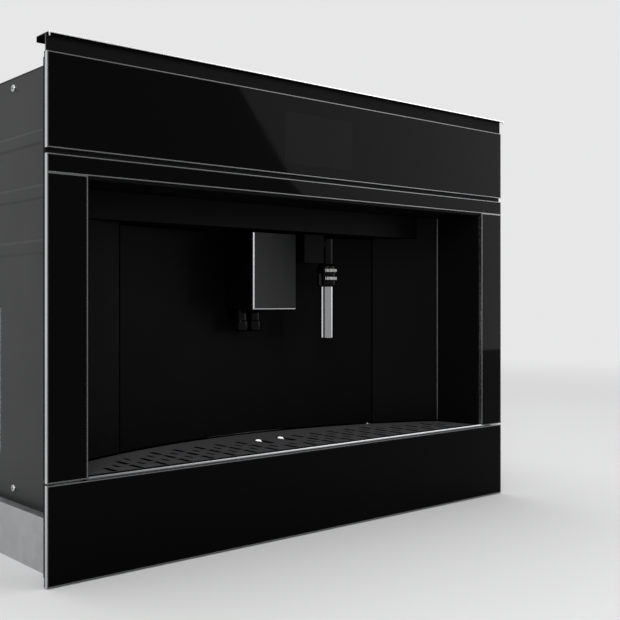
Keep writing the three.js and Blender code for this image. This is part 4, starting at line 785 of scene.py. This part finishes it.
def screw_head(radius=3.4 * MM):
    """A pan head with a six-lobed socket; it faces up and its underside is at height 0."""
    steps, lobe, waist = 24, 1.05, 0.78
    height, rim, depth = 0.55 * radius, 0.22 * radius, 0.35 * radius
    shape = bmesh.new()
    bmesh.ops.create_circle(shape, cap_ends=True, segments=steps, radius=radius)
    grown = bmesh.ops.extrude_face_region(shape, geom=shape.faces[:])["geom"]
    raised = [part for part in grown if isinstance(part, bmesh.types.BMVert)]
    bmesh.ops.translate(shape, vec=(0, 0, height), verts=raised)
    top = highest(shape.faces)
    rounded(shape, 0.3 * radius, 3, list(top.edges))
    top = highest(face for face in shape.faces if len(face.verts) == steps)
    bmesh.ops.inset_individual(shape, faces=[top], thickness=rim)
    for number, corner in enumerate(top.verts):
        reach = lobe if number % 4 == 0 else waist
        corner.co.x *= reach
        corner.co.y *= reach
    socket = bmesh.ops.extrude_discrete_faces(shape, faces=[top])["faces"][0]
    bmesh.ops.translate(shape, vec=(0, 0, -depth), verts=socket.verts)
    bmesh.ops.recalc_face_normals(shape, faces=shape.faces)
    return shape


def highest(faces):
    return max(faces, key=lambda face: face.calc_center_median().z)


def facing(shape, direction):
    """Turns a shape that faces up so that it faces along +Y, +X or -X."""
    turns = {"+y": ("X", -math.pi / 2), "+x": ("Y", math.pi / 2), "-x": ("Y", -math.pi / 2)}
    axis, angle = turns[direction]
    return tipped(shape, axis, angle=angle)


def pressed_rib(length, width, height):
    """A raised rib along X with round ends and sloping sides; its underside is at height 0."""
    slope, end_radius, brim_radius = 1.6 * height, 0.42 * width, 0.45 * height
    shape = block(around(0, length / 2), around(0, width / 2), (0, height))
    for corner in shape.verts:
        if corner.co.z > height / 2:
            corner.co.x -= math.copysign(slope, corner.co.x)
            corner.co.y -= math.copysign(slope, corner.co.y)
    ends = [e for e in shape.edges if abs(e.verts[0].co.z - e.verts[1].co.z) > height / 2]
    rounded(shape, end_radius, 6, ends)
    upper = [e for e in shape.edges if all(v.co.z > 0.9 * height for v in e.verts)]
    brim = [e for e in upper if bends(e)]
    return rounded(shape, brim_radius, 2, brim)


# ------------------------------ front


def make_front():
    dressed("front_frame", 0.2 * MM, look="frame_steel")
    for glass in ("control_panel_glass", "crossbar_glass", "left_post_glass", "right_post_glass"):
        dressed(glass, 0.35 * MM, 3)
    make_grip()
    make_gap_liners()
    make_display()


def make_grip():
    """A thin stainless lip with a small return at each end; behind it the strip and its groove are
    painted black as shade.
    """
    sheet, lap, cover_gap = mm(1.3, 0.3, 2.4)
    nose, plate, cap = mm(2.5, 0.9, 1.1)
    return_depth, return_drop = mm(1.1, 4)
    strip = Place("grip_strip")
    ends = [(strip.x[0], strip.x[0] + plate), (strip.x[1] - plate, strip.x[1])]
    top = (strip.z[1] - sheet, strip.z[1])
    under_top = top[1] - sheet / 2
    lip = soft_block(strip.x, (strip.y[0], strip.y[0] + nose), top, 0.35 * MM)
    for end in ends:
        depth, drop = (strip.y[0], strip.y[0] + return_depth), (top[1] - return_drop, under_top)
        lip = together(lip, soft_block(end, depth, drop, 0.25 * MM))
    finished(lip, "grip_lip", "machine", "stainless", ["grip_strip"])

    # Painted shade: behind its nose and in the groove the strip is black.
    groove = (FRONT + GROOVE_DEPTH, FRONT + GROOVE_DEPTH + sheet)
    hook_low = Place("top_cover").z[1] + cover_gap
    inner = (strip.x[0] + plate / 2, strip.x[1] - plate / 2)
    rear = together(
        soft_block(strip.x, (strip.y[0] + nose, strip.y[1]), top, 0.3 * MM),
        soft_block(strip.x, (strip.y[1] - sheet, strip.y[1]), (hook_low, under_top), 0.3 * MM),
        soft_block(inner, groove, (strip.z[0], top[0] + lap), 0.25 * MM),
    )
    finished(rear, "grip_rear", "machine", "black_metal", ["grip_strip"])

    rise = (Place("front_frame").z[1] - MM, top[0] + lap)
    caps = [soft_block(end, (groove[1], groove[1] + cap), rise, 0.2 * MM, 2) for end in ends]
    # Painted shade: the caps in the groove take the darkened steel.
    added(together(*caps), "groove_end_caps", "grip_strip", "stainless", "shaded_steel")


def make_gap_liners():
    """Black strips behind the gaps above and below the crossbar, put there as painted shade."""
    crossbar, control, ceiling = (
        Place(node) for node in ("crossbar_glass", "control_panel_glass", "recess_ceiling")
    )
    edge, trim, overlap = mm(1.3, 1.4, 1.2)
    depth = (FRONT + 3.3 * MM, FRONT + 4.2 * MM)
    across = (crossbar.x[0] - edge, crossbar.x[1] + edge)
    upper = block(across, depth, (crossbar.z[1] + trim, control.z[0] - trim))
    lower_rise = (ceiling.z[1] - overlap, crossbar.z[0] - trim)
    lower = block(around(0, RECESS_HALF), depth, lower_rise)
    # Painted shade: black strips that darken the gaps.
    gap_shade = rounded(together(upper, lower), 0.2 * MM)
    added(gap_shade, "shadow_gap_shade", "front_frame", "black_metal")


def make_display():
    """The display's window, printed a shade lighter than the glass around it."""
    half_width, half_height, proud, sunk = mm(46.25, 25.5, 0.04, 0.3)
    display = Place("display_module")
    height = (display.z[0] + display.z[1]) / 2
    depth = (FRONT - proud, FRONT + sunk)
    window = block(around(0, half_width), depth, around(height, half_height))
    corners = [e for e in window.edges if abs(e.verts[0].co.y - e.verts[1].co.y) > 0.1 * MM]
    rounded(window, 1.2 * MM, 4, corners)
    added(window, "display_window", "control_panel_glass", "black_glass", "display_glass")
    dressed("display_module", 0.4 * MM)


# ------------------------------ recess


def make_recess():
    for wall in ("left_recess_wall", "right_recess_wall"):
        dressed(wall)
    dressed("recess_ceiling", 0.35 * MM, 3)
    make_corner_beads()
    make_lamps()


def make_corner_beads():
    """A thin stainless bead hides the seam in each corner of the recess; its steel is darkened with
    painted shade.
    """
    wall = Place("right_recess_wall")
    bead, inset, corner_y = 0.9 * MM, 0.6 * MM, wall_y(CORNER_X)
    rise = (wall.z[0] + inset, wall.z[1] - inset)
    profile = [(0, rise[0]), (bead, rise[0] + bead / 2), (bead, rise[1] - bead / 2), (0, rise[1])]
    for side, name in ((-1, "left"), (1, "right")):
        at = (side * (CORNER_X - 0.55 * bead), corner_y - 0.75 * bead, 0)
        shape = turned(profile, at, 16)
        added(shape, name + "_corner_bead", name + "_recess_wall", "stainless", "shaded_steel")


def make_lamps():
    """A smoked lens flush with the ceiling, in a thin bezel."""
    for name in ("left_cup_lamp", "right_cup_lamp"):
        lamp = Place(name)
        at = (lamp.middle.x, lamp.middle.y)
        low, lens, flange = lamp.z[0], LAMP_RADIUS, lamp.size.x / 2
        body = turned(
            [
                (0, low + 0.5 * MM),
                (0.55 * lens, low + 0.35 * MM),
                (lens - 0.6 * MM, low),
                (lens, low + 0.4 * MM),
                (lens, low + 1.6 * MM),
                (flange, low + 1.6 * MM),
                (flange, lamp.z[1] - 0.4 * MM),
                (flange - 0.4 * MM, lamp.z[1]),
                (0, lamp.z[1]),
            ],
            (*at, 0),
        )
        finished(body, name + "_lens", "machine", "lamp_lens", [name])
        bezel = turned(
            [
                (lens + 0.4 * MM, low + 0.1 * MM),
                (lens + 0.9 * MM, low - 0.5 * MM),
                (lens + 1.8 * MM, low - 0.4 * MM),
                (lens + 2.1 * MM, low + 0.1 * MM),
            ],
            (*at, 0),
            ring=True,
        )
        added(bezel, name + "_bezel", name, "black_metal")


# ------------------------------ service door and spout


def make_door():
    dressed("service_door", 0.45 * MM, 3)
    dressed("spout_rail")
    dressed("coffee_duct", 0.4 * MM)


def make_spout():
    plate = Place("spout_front_plate")
    dressed("spout_front_plate", 0.5 * MM, 3)
    left_border, low_border, proud, sunk = mm(1.9, 0.9, 0.12, 0.45)
    face = block(
        (plate.x[0] + left_border, plate.x[1]),
        (plate.y[0] - proud, plate.y[0] + sunk),
        (plate.z[0] + low_border, plate.z[1]),
    )
    front_edges = [e for e in face.edges if all(v.co.y < plate.y[0] for v in e.verts)]
    rounded(face, proud, 2, front_edges)
    added(face, "spout_brushed_face", "spout_front_plate", "brushed_steel", "spout_steel")
    dressed("spout_housing", 0.7 * MM, 3)
    make_nozzles()


def make_nozzles():
    """Two nozzles side by side, each with a wider lower half, on one moulding."""
    whole = Place("spout_nozzles")
    spread, middle_x, depth = mm(18, -10, 109)
    radius, ring, bore = mm(7.2, 8.6, 3)
    low, length, bore_length = whole.z[0], 24 * MM, 6 * MM
    neck_top, ring_top = low + length + 0.4 * MM, low + length / 2
    profile = [
        (bore, low + bore_length),
        (bore, low + 0.8 * MM),
        (bore + 0.8 * MM, low),
        (ring - 2.2 * MM, low),
        (ring - 0.6 * MM, low + 0.7 * MM),
        (ring, low + 2.4 * MM),
        (ring, ring_top - 1.6 * MM),
        (ring - 0.5 * MM, ring_top - 0.5 * MM),
        (radius, ring_top),
        (radius, neck_top),
        (radius - 1.5 * MM, neck_top + 2 * MM),
        (0, neck_top + 2 * MM),
        (0, low + bore_length),
    ]
    nozzles = [
        turned(profile, (middle_x + side * spread / 2, FRONT + depth, 0)) for side in (-1, 1)
    ]
    base = copied("spout_nozzles")
    below = [v for v in base.verts if v.co.z < low + length - 0.1 * MM]
    bmesh.ops.delete(base, geom=below, context="VERTS")
    whole = together(base, *nozzles)
    finished(whole, "spout_nozzles_rounded", "coffee_spout", "gloss_plastic", ["spout_nozzles"])


# ------------------------------ steam wand


def make_wand():
    dressed("steam_mount", 0.9 * MM, 3)
    make_tube()
    make_collar()
    make_sleeve()


def make_tube():
    tube, collar, sleeve = (Place(n) for n in ("steam_tube", "frother_collar", "frother_sleeve"))
    at = (collar.middle.x, collar.middle.y)
    radius, pipe, bore, trunnion = sleeve.size.x / 2, 3.5 * MM, 1.5 * MM, 4 * MM
    top, low, bore_length, pivot_drop = tube.z[1], tube.z[0], 4 * MM, 8 * MM
    shoulder = collar.z[0] + 2 * MM
    body = turned(
        [
            (bore, low + bore_length),
            (bore, low + 0.3 * MM),
            (bore + 0.4 * MM, low),
            (pipe - 0.7 * MM, low),
            (pipe, low + 0.7 * MM),
            (pipe, shoulder),
            (radius - 0.3 * MM, shoulder),
            (radius, shoulder + 0.3 * MM),
            (radius, top - 3 * MM),
            (radius - 0.9 * MM, top - 0.9 * MM),
            (radius - 3 * MM, top),
            (0, top),
            (0, low + bore_length),
        ],
        (*at, 0),
        64,
    )
    pin = rod(trunnion, (0, 0), (tube.x[0], at[0] - 2 * MM))
    tipped(pin, "Y")
    bmesh.ops.translate(pin, vec=(0, at[1], top - pivot_drop), verts=pin.verts)
    lip = radius + 0.45 * MM
    lip_profile = [(radius, 0), (lip, 0.3 * MM), (lip, 0.9 * MM), (radius, 1.2 * MM)]
    seal = turned(lip_profile, (*at, collar.z[1] + 2 * MM), 64, ring=True)
    whole = together(body, pin, seal)
    finished(whole, "steam_tube_turned", "steam_wand", "gloss_plastic", ["steam_tube"])


def make_collar():
    """The air collar: domed above, rounded below, with two rows of plain marks on it."""
    collar = Place("frother_collar")
    outer, inner = collar.size.x / 2, Place("frother_sleeve").size.x / 2 + 0.3 * MM
    low, high = collar.z
    profile = [
        (inner, low + 0.4 * MM),
        (inner + 0.5 * MM, low),
        (outer - 1.8 * MM, low),
        (outer - 0.6 * MM, low + 0.5 * MM),
        (outer, low + 1.8 * MM),
        (outer, high - 5.5 * MM),
        (outer - 0.35 * MM, high - 3.4 * MM),
        (outer - 1.2 * MM, high - 1.7 * MM),
        (outer - 2.3 * MM, high - 0.5 * MM),
        (inner + 0.2 * MM, high),
        (inner, high - 0.2 * MM),
    ]
    at = (collar.middle.x, collar.middle.y, 0)
    shape = turned(profile, at, 72, ring=True)
    finished(
        shape, "frother_collar_turned", "frother_collar", "gloss_plastic", ["frother_collar"]
    )
    make_collar_marks(at, outer + 0.05 * MM, high)


def make_collar_marks(at, radius, high):
    """Two rows of upright bars on the side of the collar that faces the user."""
    tall, drops, count = 3.2 * MM, mm(9.2, 18.2), 11
    first, sweep, width = 221, 84, 3.2  # degrees
    marks = bmesh.new()
    for drop in drops:
        for number in range(count):
            start = first + number * sweep / (count - 1)
            marks = together(marks, arc_mark(at, radius, high - drop, tall, start, width))
    added(marks, "collar_marks", "frother_collar", "white_plastic")


def arc_mark(at, radius, height, tall, start, sweep):
    """A printed bar that follows a round surface; angles in degrees from +X."""
    shape = bmesh.new()
    depth = 0.12 * MM
    corners = [(radius - depth, 0), (radius, 0), (radius, tall), (radius - depth, tall)]
    points = [shape.verts.new((r, 0, z)) for r, z in corners]
    face = shape.faces.new(points)
    tipped(shape, "Z", angle=math.radians(start))
    bmesh.ops.spin(
        shape,
        geom=[face],
        cent=(0, 0, 0),
        axis=(0, 0, 1),
        angle=math.radians(sweep),
        steps=2,
        use_duplicate=False,
    )
    bmesh.ops.contextual_create(shape, geom=[e for e in shape.edges if e.is_boundary])
    bmesh.ops.recalc_face_normals(shape, faces=shape.faces)
    bmesh.ops.translate(shape, vec=(at[0], at[1], height), verts=shape.verts)
    return shape


def make_sleeve():
    sleeve = Place("frother_sleeve")
    outer, inner = sleeve.size.x / 2, 3.8 * MM
    low, high = sleeve.z
    profile = [
        (inner, low + 3 * MM),
        (inner + 2.2 * MM, low + 0.6 * MM),
        (outer - 1.6 * MM, low),
        (outer - 0.5 * MM, low + 0.5 * MM),
        (outer, low + 1.6 * MM),
        (outer, high - 0.5 * MM),
        (outer - 0.4 * MM, high),
        (inner, high),
    ]
    shape = turned(profile, (sleeve.middle.x, sleeve.middle.y, 0), 72, ring=True)
    finished(shape, "frother_sleeve_turned", "frother_sleeve", "chrome", ["frother_sleeve"])


# ------------------------------ drip drawer


def make_drawer():
    dressed("drawer_front_frame", 0.2 * MM, look="frame_steel")
    dressed("drawer_front_glass", 0.35 * MM, 3)
    dressed("tray_rim", 0.45 * MM, 3, "rim_steel")
    dressed("drip_tray", 0.7 * MM, 3)
    dressed("grounds_container", 0.8 * MM, 3)
    dressed("level_float", 1.1 * MM, 4)
    make_float_tips()
    make_grille()
    make_tray_ribs()


def make_grille():
    """The cup grille: its slots have round ends and widen towards the top."""
    top, end_radius, level = Place("cup_grille").z[1], 0.62 * MM, 0.04 * MM
    flare = 0.43  # how far a slot's upper edge moves outwards, as a share of the slot's width
    shape = copied("cup_grille")
    rounded(shape, end_radius, 3, upright_edges(shape))
    upper_faces = [f for f in shape.faces if all(abs(v.co.z - top) < level for v in f.verts)]
    bmesh.ops.delete(shape, geom=upper_faces, context="FACES")
    open_edges = [e for e in shape.edges if e.is_boundary]
    for loop in loops_of(open_edges):
        low, high = corners_of(loop)
        width, length = high.x - low.x, high.y - low.y
        if width > length:  # the plate's own outline
            continue
        middle = (low + high) / 2
        for point in loop:
            point.co.x = middle.x + (point.co.x - middle.x) * (1 + 2 * flare)
            point.co.y = middle.y + (point.co.y - middle.y) * (1 + 2 * flare * width / length)
    bmesh.ops.triangle_fill(shape, edges=open_edges, use_beauty=True, normal=(0, 0, 1))
    bmesh.ops.dissolve_limit(shape, angle_limit=FLAT, verts=shape.verts, edges=shape.edges)
    bmesh.ops.recalc_face_normals(shape, faces=shape.faces)
    finished(shape, "cup_grille_rounded", "cup_grille", "grille_metal", ["cup_grille"])


def corners_of(points):
    """The lowest and the highest corner of the box around some points."""
    return (Vector(pick(v.co[axis] for v in points) for axis in range(3)) for pick in (min, max))


def loops_of(edges):
    """The points of each closed loop among some edges."""
    left, loops = set(edges), []
    while left:
        edge = left.pop()
        loop, waiting = set(edge.verts), list(edge.verts)
        while waiting:
            joined = [e for e in waiting.pop().link_edges if e in left]
            left.difference_update(joined)
            fresh = {point for e in joined for point in e.verts} - loop
            loop |= fresh
            waiting += fresh
        loops.append(loop)
    return loops


def make_float_tips():
    """Caps on the float's two tips, bright with painted light as they glow; they stand a little above the
    grille.
    """
    level_float, grille = Place("level_float"), Place("cup_grille")
    spread, width, length, proud, inset = mm(30.5, 4.1, 5.4, 0.6, 4.8)
    rise = (grille.z[0], grille.z[1] + proud)
    back = level_float.y[1] - inset
    caps = [
        soft_block(around(x, width / 2), (back - length, back), rise, 0.9 * MM)
        for x in around(level_float.middle.x, spread / 2)
    ]
    added(together(*caps), "float_tip_caps", "level_float", "white_plastic", "tip_glow")


def make_tray_ribs():
    """Low ribs on the tray's floor keep the water from splashing."""
    half_thickness, height, wall = mm(0.75, 5, 1.9)
    pitch, count = 40 * MM, 12
    floor = Place("drip_tray").z[0] + wall
    depth = (FRONT + 12 * MM, FRONT + 52 * MM)
    rib = soft_block(around(0, half_thickness), depth, (floor, floor + height), 0.5 * MM)
    first = -(count - 1) * pitch / 2
    places = [(first + number * pitch, 0, 0) for number in range(count)]
    added(set_out(rib, places), "tray_ribs", "drip_tray", "black_plastic")


# ------------------------------ chassis and rails

RIB_SUNK = 0.05 * MM  # a rib's underside below the sheet's face


def make_chassis():
    for node in ("base_plate", "inner_floor", "upper_shelf", "top_cover"):
        dressed(node)
    make_rear_panel()
    for side in ("left", "right"):
        for node in ("side_panel", "cabinet_rail", "mid_rail", "inner_rail"):
            dressed(f"{side}_{node}")
    make_side_details()
    make_cover_details()


def make_rear_panel():
    """The rear panel has round-ended vents, eight screws and three level ribs."""
    vent_radius, inset, side_screw_height = mm(1.7, 9, 200)
    shape = copied("rear_panel")
    across = []
    for edge in shape.edges:
        one, two = (v.co for v in edge.verts)
        if abs(one.y - two.y) > 0.5 * MM and bends(edge):
            across.append(edge)
    rounded(shape, vent_radius, 4, across)
    brim = [e for e in shape.edges if bends(e, SQUARE)]
    rounded(shape, 0.25 * MM, 2, brim)
    finished(shape, "rear_panel_rounded", "machine", "dark_sheet", ["rear_panel"])

    panel = Place("rear_panel")
    xs = (panel.x[0] + inset, 0, panel.x[1] - inset)
    zs = (panel.z[0] + inset, panel.z[1] - inset)
    places = [(x, panel.y[1], z) for x in xs for z in zs]
    places += [(x, panel.y[1], side_screw_height) for x in (xs[0], xs[2])]
    add_screws("rear_panel", facing(screw_head(), "+y"), places, "rear_panel_screws")
    rib = facing(pressed_rib(400 * MM, 12 * MM, 1.4 * MM), "+y")
    heights = mm(90, 160, 230)
    ribs = set_out(rib, [(0, panel.y[1] - RIB_SUNK, height) for height in heights])
    added(ribs, "rear_panel_ribs", "rear_panel", "dark_sheet")


def add_screws(node, head, places, name):
    added(set_out(head, places), name, node, "zinc_sheet", "screw_steel")


def make_side_details():
    """Two rows of four screws and three level ribs on each side panel."""
    inset, above_rail, below_top, per_row = 14 * MM, 10 * MM, 9 * MM, 4
    rail_top = Place("right_cabinet_rail").z[1]
    for side, name in ((1, "right"), (-1, "left")):
        panel = Place(name + "_side_panel")
        face = panel.x[1] if side > 0 else panel.x[0]
        way = "+x" if side > 0 else "-x"
        pitch = (panel.size.y - 2 * inset) / (per_row - 1)
        ys = [panel.y[0] + inset + number * pitch for number in range(per_row)]
        heights = (rail_top + above_rail, panel.z[1] - below_top)
        places = [(face, y, z) for y in ys for z in heights]
        add_screws(name + "_side_panel", facing(screw_head(), way), places, name + "_panel_screws")
        rib = facing(tipped(pressed_rib(300 * MM, 14 * MM, 1.4 * MM), "Z"), way)
        at = [(face - side * RIB_SUNK, 0.0, height) for height in mm(285, 335, 385)]
        added(set_out(rib, at), name + "_panel_ribs", name + "_side_panel", "dark_sheet")


def make_cover_details():
    """Screws round the cover's edge, and two ribs on each side of the hopper's lid."""
    cover = Place("top_cover")
    inset, front_inset, third = 10 * MM, 22 * MM, cover.size.x / 3
    xs = (cover.x[0] + inset, cover.x[0] + third, cover.x[1] - third, cover.x[1] - inset)
    ys = (cover.y[0] + front_inset, cover.y[1] - inset)
    places = [(x, y, cover.z[1]) for x in xs for y in ys]
    places += [(x, 0.0, cover.z[1]) for x in (xs[0], xs[-1])]
    add_screws("top_cover", screw_head(3.2 * MM), places, "top_cover_screws")
    rib = tipped(pressed_rib(240 * MM, 14 * MM, 1.3 * MM), "Z")
    rib_xs = mm(-210, -170, 150, 190)
    ribs = set_out(rib, [(x, 0.0, cover.z[1] - RIB_SUNK) for x in rib_xs])
    added(ribs, "top_cover_ribs", "top_cover", "dark_sheet")


# ------------------------------ brew unit


def make_brew_unit():
    dressed("brew_unit_frame", 0.8 * MM, 3)
    dressed("brew_chamber", 0.7 * MM, 3)
    make_lead_screw()
    for side in ("left", "right"):
        dressed(side + "_release_button", 0.9 * MM, 4)
    make_chamber_band()
    make_unit_ribs()


def make_chamber_band():
    chamber = Place("brew_chamber")
    inner, outer, bevel, height, drop = mm(30, 31, 0.6, 4, 9)
    axis = (0, FRONT + 185 * MM)
    profile = [(inner, 0), (outer, bevel), (outer, height - bevel), (inner, height)]
    ring = turned(profile, (*axis, chamber.z[1] - drop), 64, ring=True)
    added(ring, "brew_chamber_band", "brew_chamber", "grey_plastic")


def make_unit_ribs():
    """An upright rib on each column of the brew unit's frame."""
    unit = Place("brew_unit_frame")
    column, half_width, margin = mm(52.5, 1.4, 14)
    depth = (unit.y[0] - 0.6 * MM, unit.y[0] + 1 * MM)
    rise = (unit.z[0] + margin, unit.z[1] - margin)
    bars = [soft_block(around(x, half_width), depth, rise, 0.5 * MM) for x in around(0, column)]
    added(together(*bars), "brew_unit_ribs", "brew_unit_frame", "grey_plastic")


def make_lead_screw():
    """A four-start trapezoidal screw with a lead of 20 mm."""
    screw = Place("lead_screw")
    outer, core, sunk, ends = screw.size.x / 2, 4.1 * MM, 0.3 * MM, 8 * MM
    lead, starts, steps = 20 * MM, 4, 20
    at = (screw.middle.x, screw.middle.y)
    body = rounded(rod(core, at, screw.z), 0.4 * MM)
    turns = (screw.size.z - 2 * ends) / lead
    pitch, inside = lead / starts, core - sunk
    root, crest = 0.375 * pitch, 0.2 * pitch
    corners = [(inside, -root), (outer, -crest), (outer, crest), (inside, root)]
    for start in range(starts):
        thread = bmesh.new()
        face = thread.faces.new([thread.verts.new((radius, 0, z)) for radius, z in corners])
        bmesh.ops.spin(
            thread,
            geom=[face],
            cent=(0, 0, 0),
            axis=(0, 0, 1),
            dvec=(0, 0, lead / steps),
            angle=math.tau * turns,
            steps=round(steps * turns),
            use_duplicate=False,
        )
        bmesh.ops.contextual_create(thread, geom=[e for e in thread.edges if e.is_boundary])
        bmesh.ops.recalc_face_normals(thread, faces=thread.faces)
        tipped(thread, "Z", angle=start * math.tau / starts)
        bmesh.ops.translate(thread, vec=(*at, screw.z[0] + ends), verts=thread.verts)
        body = together(body, thread)
    finished(body, "lead_screw_threaded", "lead_screw", "stainless", ["lead_screw"])


# ------------------------------ grinder and hopper


def make_grinder():
    dressed("grinder_housing", 0.7 * MM, 3)
    dressed("upper_burr", 0.4 * MM)
    dressed("lower_burr", 0.4 * MM)
    dressed("bean_hopper", 0.7 * MM, 3)
    dressed("hopper_lid", 0.45 * MM, 3)
    make_burr_teeth()
    make_knob()


def make_burr_teeth():
    """Skewed teeth on the cone of the lower burr."""
    burr = Place("lower_burr")
    inner, outer, half_width, height, drop = mm(9, 17, 0.9, 2.2, 9.5)
    slope, skew, count = math.radians(32), math.radians(18), 12
    teeth = bmesh.new()
    for number in range(count):
        tooth = soft_block((inner, outer), around(0, half_width), (0, height), 0.3 * MM, 2)
        tipped(tooth, "Y", (outer, 0, 0), slope)
        tipped(tooth, "Z", (outer, 0, 0), skew)
        tipped(tooth, "Z", angle=number * math.tau / count)
        bmesh.ops.translate(tooth, vec=(0, burr.middle.y, burr.z[1] - drop), verts=tooth.verts)
        teeth = together(teeth, tooth)
    added(teeth, "lower_burr_teeth", "lower_burr", "stainless")


def make_knob():
    """A fluted knob with a pointer, on its stem."""
    knob = Place("grind_knob")
    grip, flutes, flute_share, stem_radius = 20 * MM, 18, 0.93, 5 * MM
    at, low = (knob.middle.x, knob.middle.y), knob.z[1] - grip
    shape = bmesh.new()
    bmesh.ops.create_circle(
        shape, cap_ends=True, segments=4 * flutes, radius=knob.size.x / 2 - 0.2 * MM
    )
    for number, corner in enumerate(shape.verts):
        if number % 4 in (2, 3):
            corner.co *= flute_share
    grown = bmesh.ops.extrude_face_region(shape, geom=shape.faces[:])["geom"]
    raised = [part for part in grown if isinstance(part, bmesh.types.BMVert)]
    bmesh.ops.translate(shape, vec=(0, 0, grip), verts=raised)
    bmesh.ops.recalc_face_normals(shape, faces=shape.faces)
    ends = [e for e in shape.edges if abs(e.verts[0].co.z - e.verts[1].co.z) < 0.1 * MM]
    rounded(shape, 0.9 * MM, 3, ends)
    bmesh.ops.translate(shape, vec=(*at, low), verts=shape.verts)
    whole = together(shape, rod(stem_radius, at, (knob.z[0], low + MM)))
    finished(whole, "grind_knob_fluted", "grind_knob", "grey_plastic", ["grind_knob"])
    pointer = soft_block(
        around(at[0], 0.8 * MM),
        (at[1] - 11.5 * MM, at[1] - 3 * MM),
        (knob.z[1] - 0.3 * MM, knob.z[1] + 0.25 * MM),
        0.2 * MM,
    )
    added(pointer, "grind_knob_pointer", "grind_knob", "white_plastic")


# ------------------------------ water tank


def make_tank():
    dressed("water_tank", 1.2 * MM, 3)
    dressed("tank_lid", 0.5 * MM, 3)
    make_level_lines()


def make_level_lines():
    """Three short lines and a long one for the highest level."""
    tank = Place("water_tank")
    lowest, pitch, short, long = mm(30, 25, 8, 18)
    depth = (tank.y[0] - 0.25 * MM, tank.y[0] + 0.3 * MM)
    marks = []
    for number, reach in enumerate((short, short, short, long)):
        rise = around(tank.z[0] + lowest + number * pitch, 0.5 * MM)
        marks.append(soft_block(around(tank.middle.x, reach), depth, rise, 0.15 * MM, 2))
    added(together(*marks), "tank_level_lines", "water_tank", "white_plastic")


# ------------------------------ heater, pump and electrics


def make_works():
    dressed("thermoblock", 1.0 * MM, 3)
    dressed("pump", 0.8 * MM, 3)
    dressed("power_board")
    dressed("power_inlet", 0.5 * MM, 3)
    dressed("main_switch", 0.5 * MM, 3)
    make_boiler_screws()
    make_switch_marks()
    make_inlet_pins()


def make_boiler_screws():
    boiler = Place("thermoblock")
    inset, left_inset, flange_drop = mm(8, 26, 15)
    xs = (boiler.x[0] + left_inset, boiler.x[1] - inset)
    ys = (boiler.y[0] + inset, boiler.y[1] - inset)
    places = [(x, y, boiler.z[1] - flange_drop) for x in xs for y in ys]
    add_screws("thermoblock", screw_head(3.8 * MM), places, "thermoblock_screws")


def make_switch_marks():
    """The usual bar and ring for on and off."""
    switch = Place("main_switch")
    tall, offset, inner, outer, thick = mm(2, 6, 1.5, 2.2, 0.2)
    x, face, middle = switch.middle.x, switch.y[1], switch.middle.z
    bar = soft_block(around(0, 0.45 * MM), (0, thick), around(0, tall), 0.08 * MM, 2)
    profile = [(inner, 0), (outer, 0), (outer, thick), (inner, thick)]
    ring = facing(turned(profile, steps=32, ring=True), "+y")
    bmesh.ops.translate(bar, vec=(x, face - 1.3 * MM, middle + offset), verts=bar.verts)
    bmesh.ops.translate(ring, vec=(x, face - 0.7 * MM, middle - offset), verts=ring.verts)
    added(together(bar, ring), "switch_marks", "main_switch", "white_plastic")


def make_inlet_pins():
    """Three flat pins, the middle one a little higher."""
    inlet = Place("power_inlet")
    offset, pitch, rise = mm(8.2, 7.2, 2.4)
    depth = (inlet.y[1] - 13 * MM, inlet.y[1] - 2.2 * MM)
    pins = []
    for place in (-1, 0, 1):
        x = inlet.middle.x + offset + place * pitch
        z = inlet.middle.z - abs(place) * rise
        pins.append(soft_block(around(x, 1.3 * MM), depth, around(z, 2.5 * MM), 0.4 * MM))
    added(together(*pins), "inlet_pins", "power_inlet", "zinc_sheet", "screw_steel")


# ------------------------------ the machine

GROUPS = {
    "grain": make_brushed_grain(),
    "moulded": make_moulded_texture(),
    "edge": make_edge_polish(),
    "dust": make_dust(),
    "spangle": make_spangle(),
}
MATERIALS = make_materials()
make_studio()

make_front()
make_recess()
make_door()
make_spout()
make_wand()
make_drawer()
make_chassis()
make_brew_unit()
make_grinder()
make_tank()
make_works()
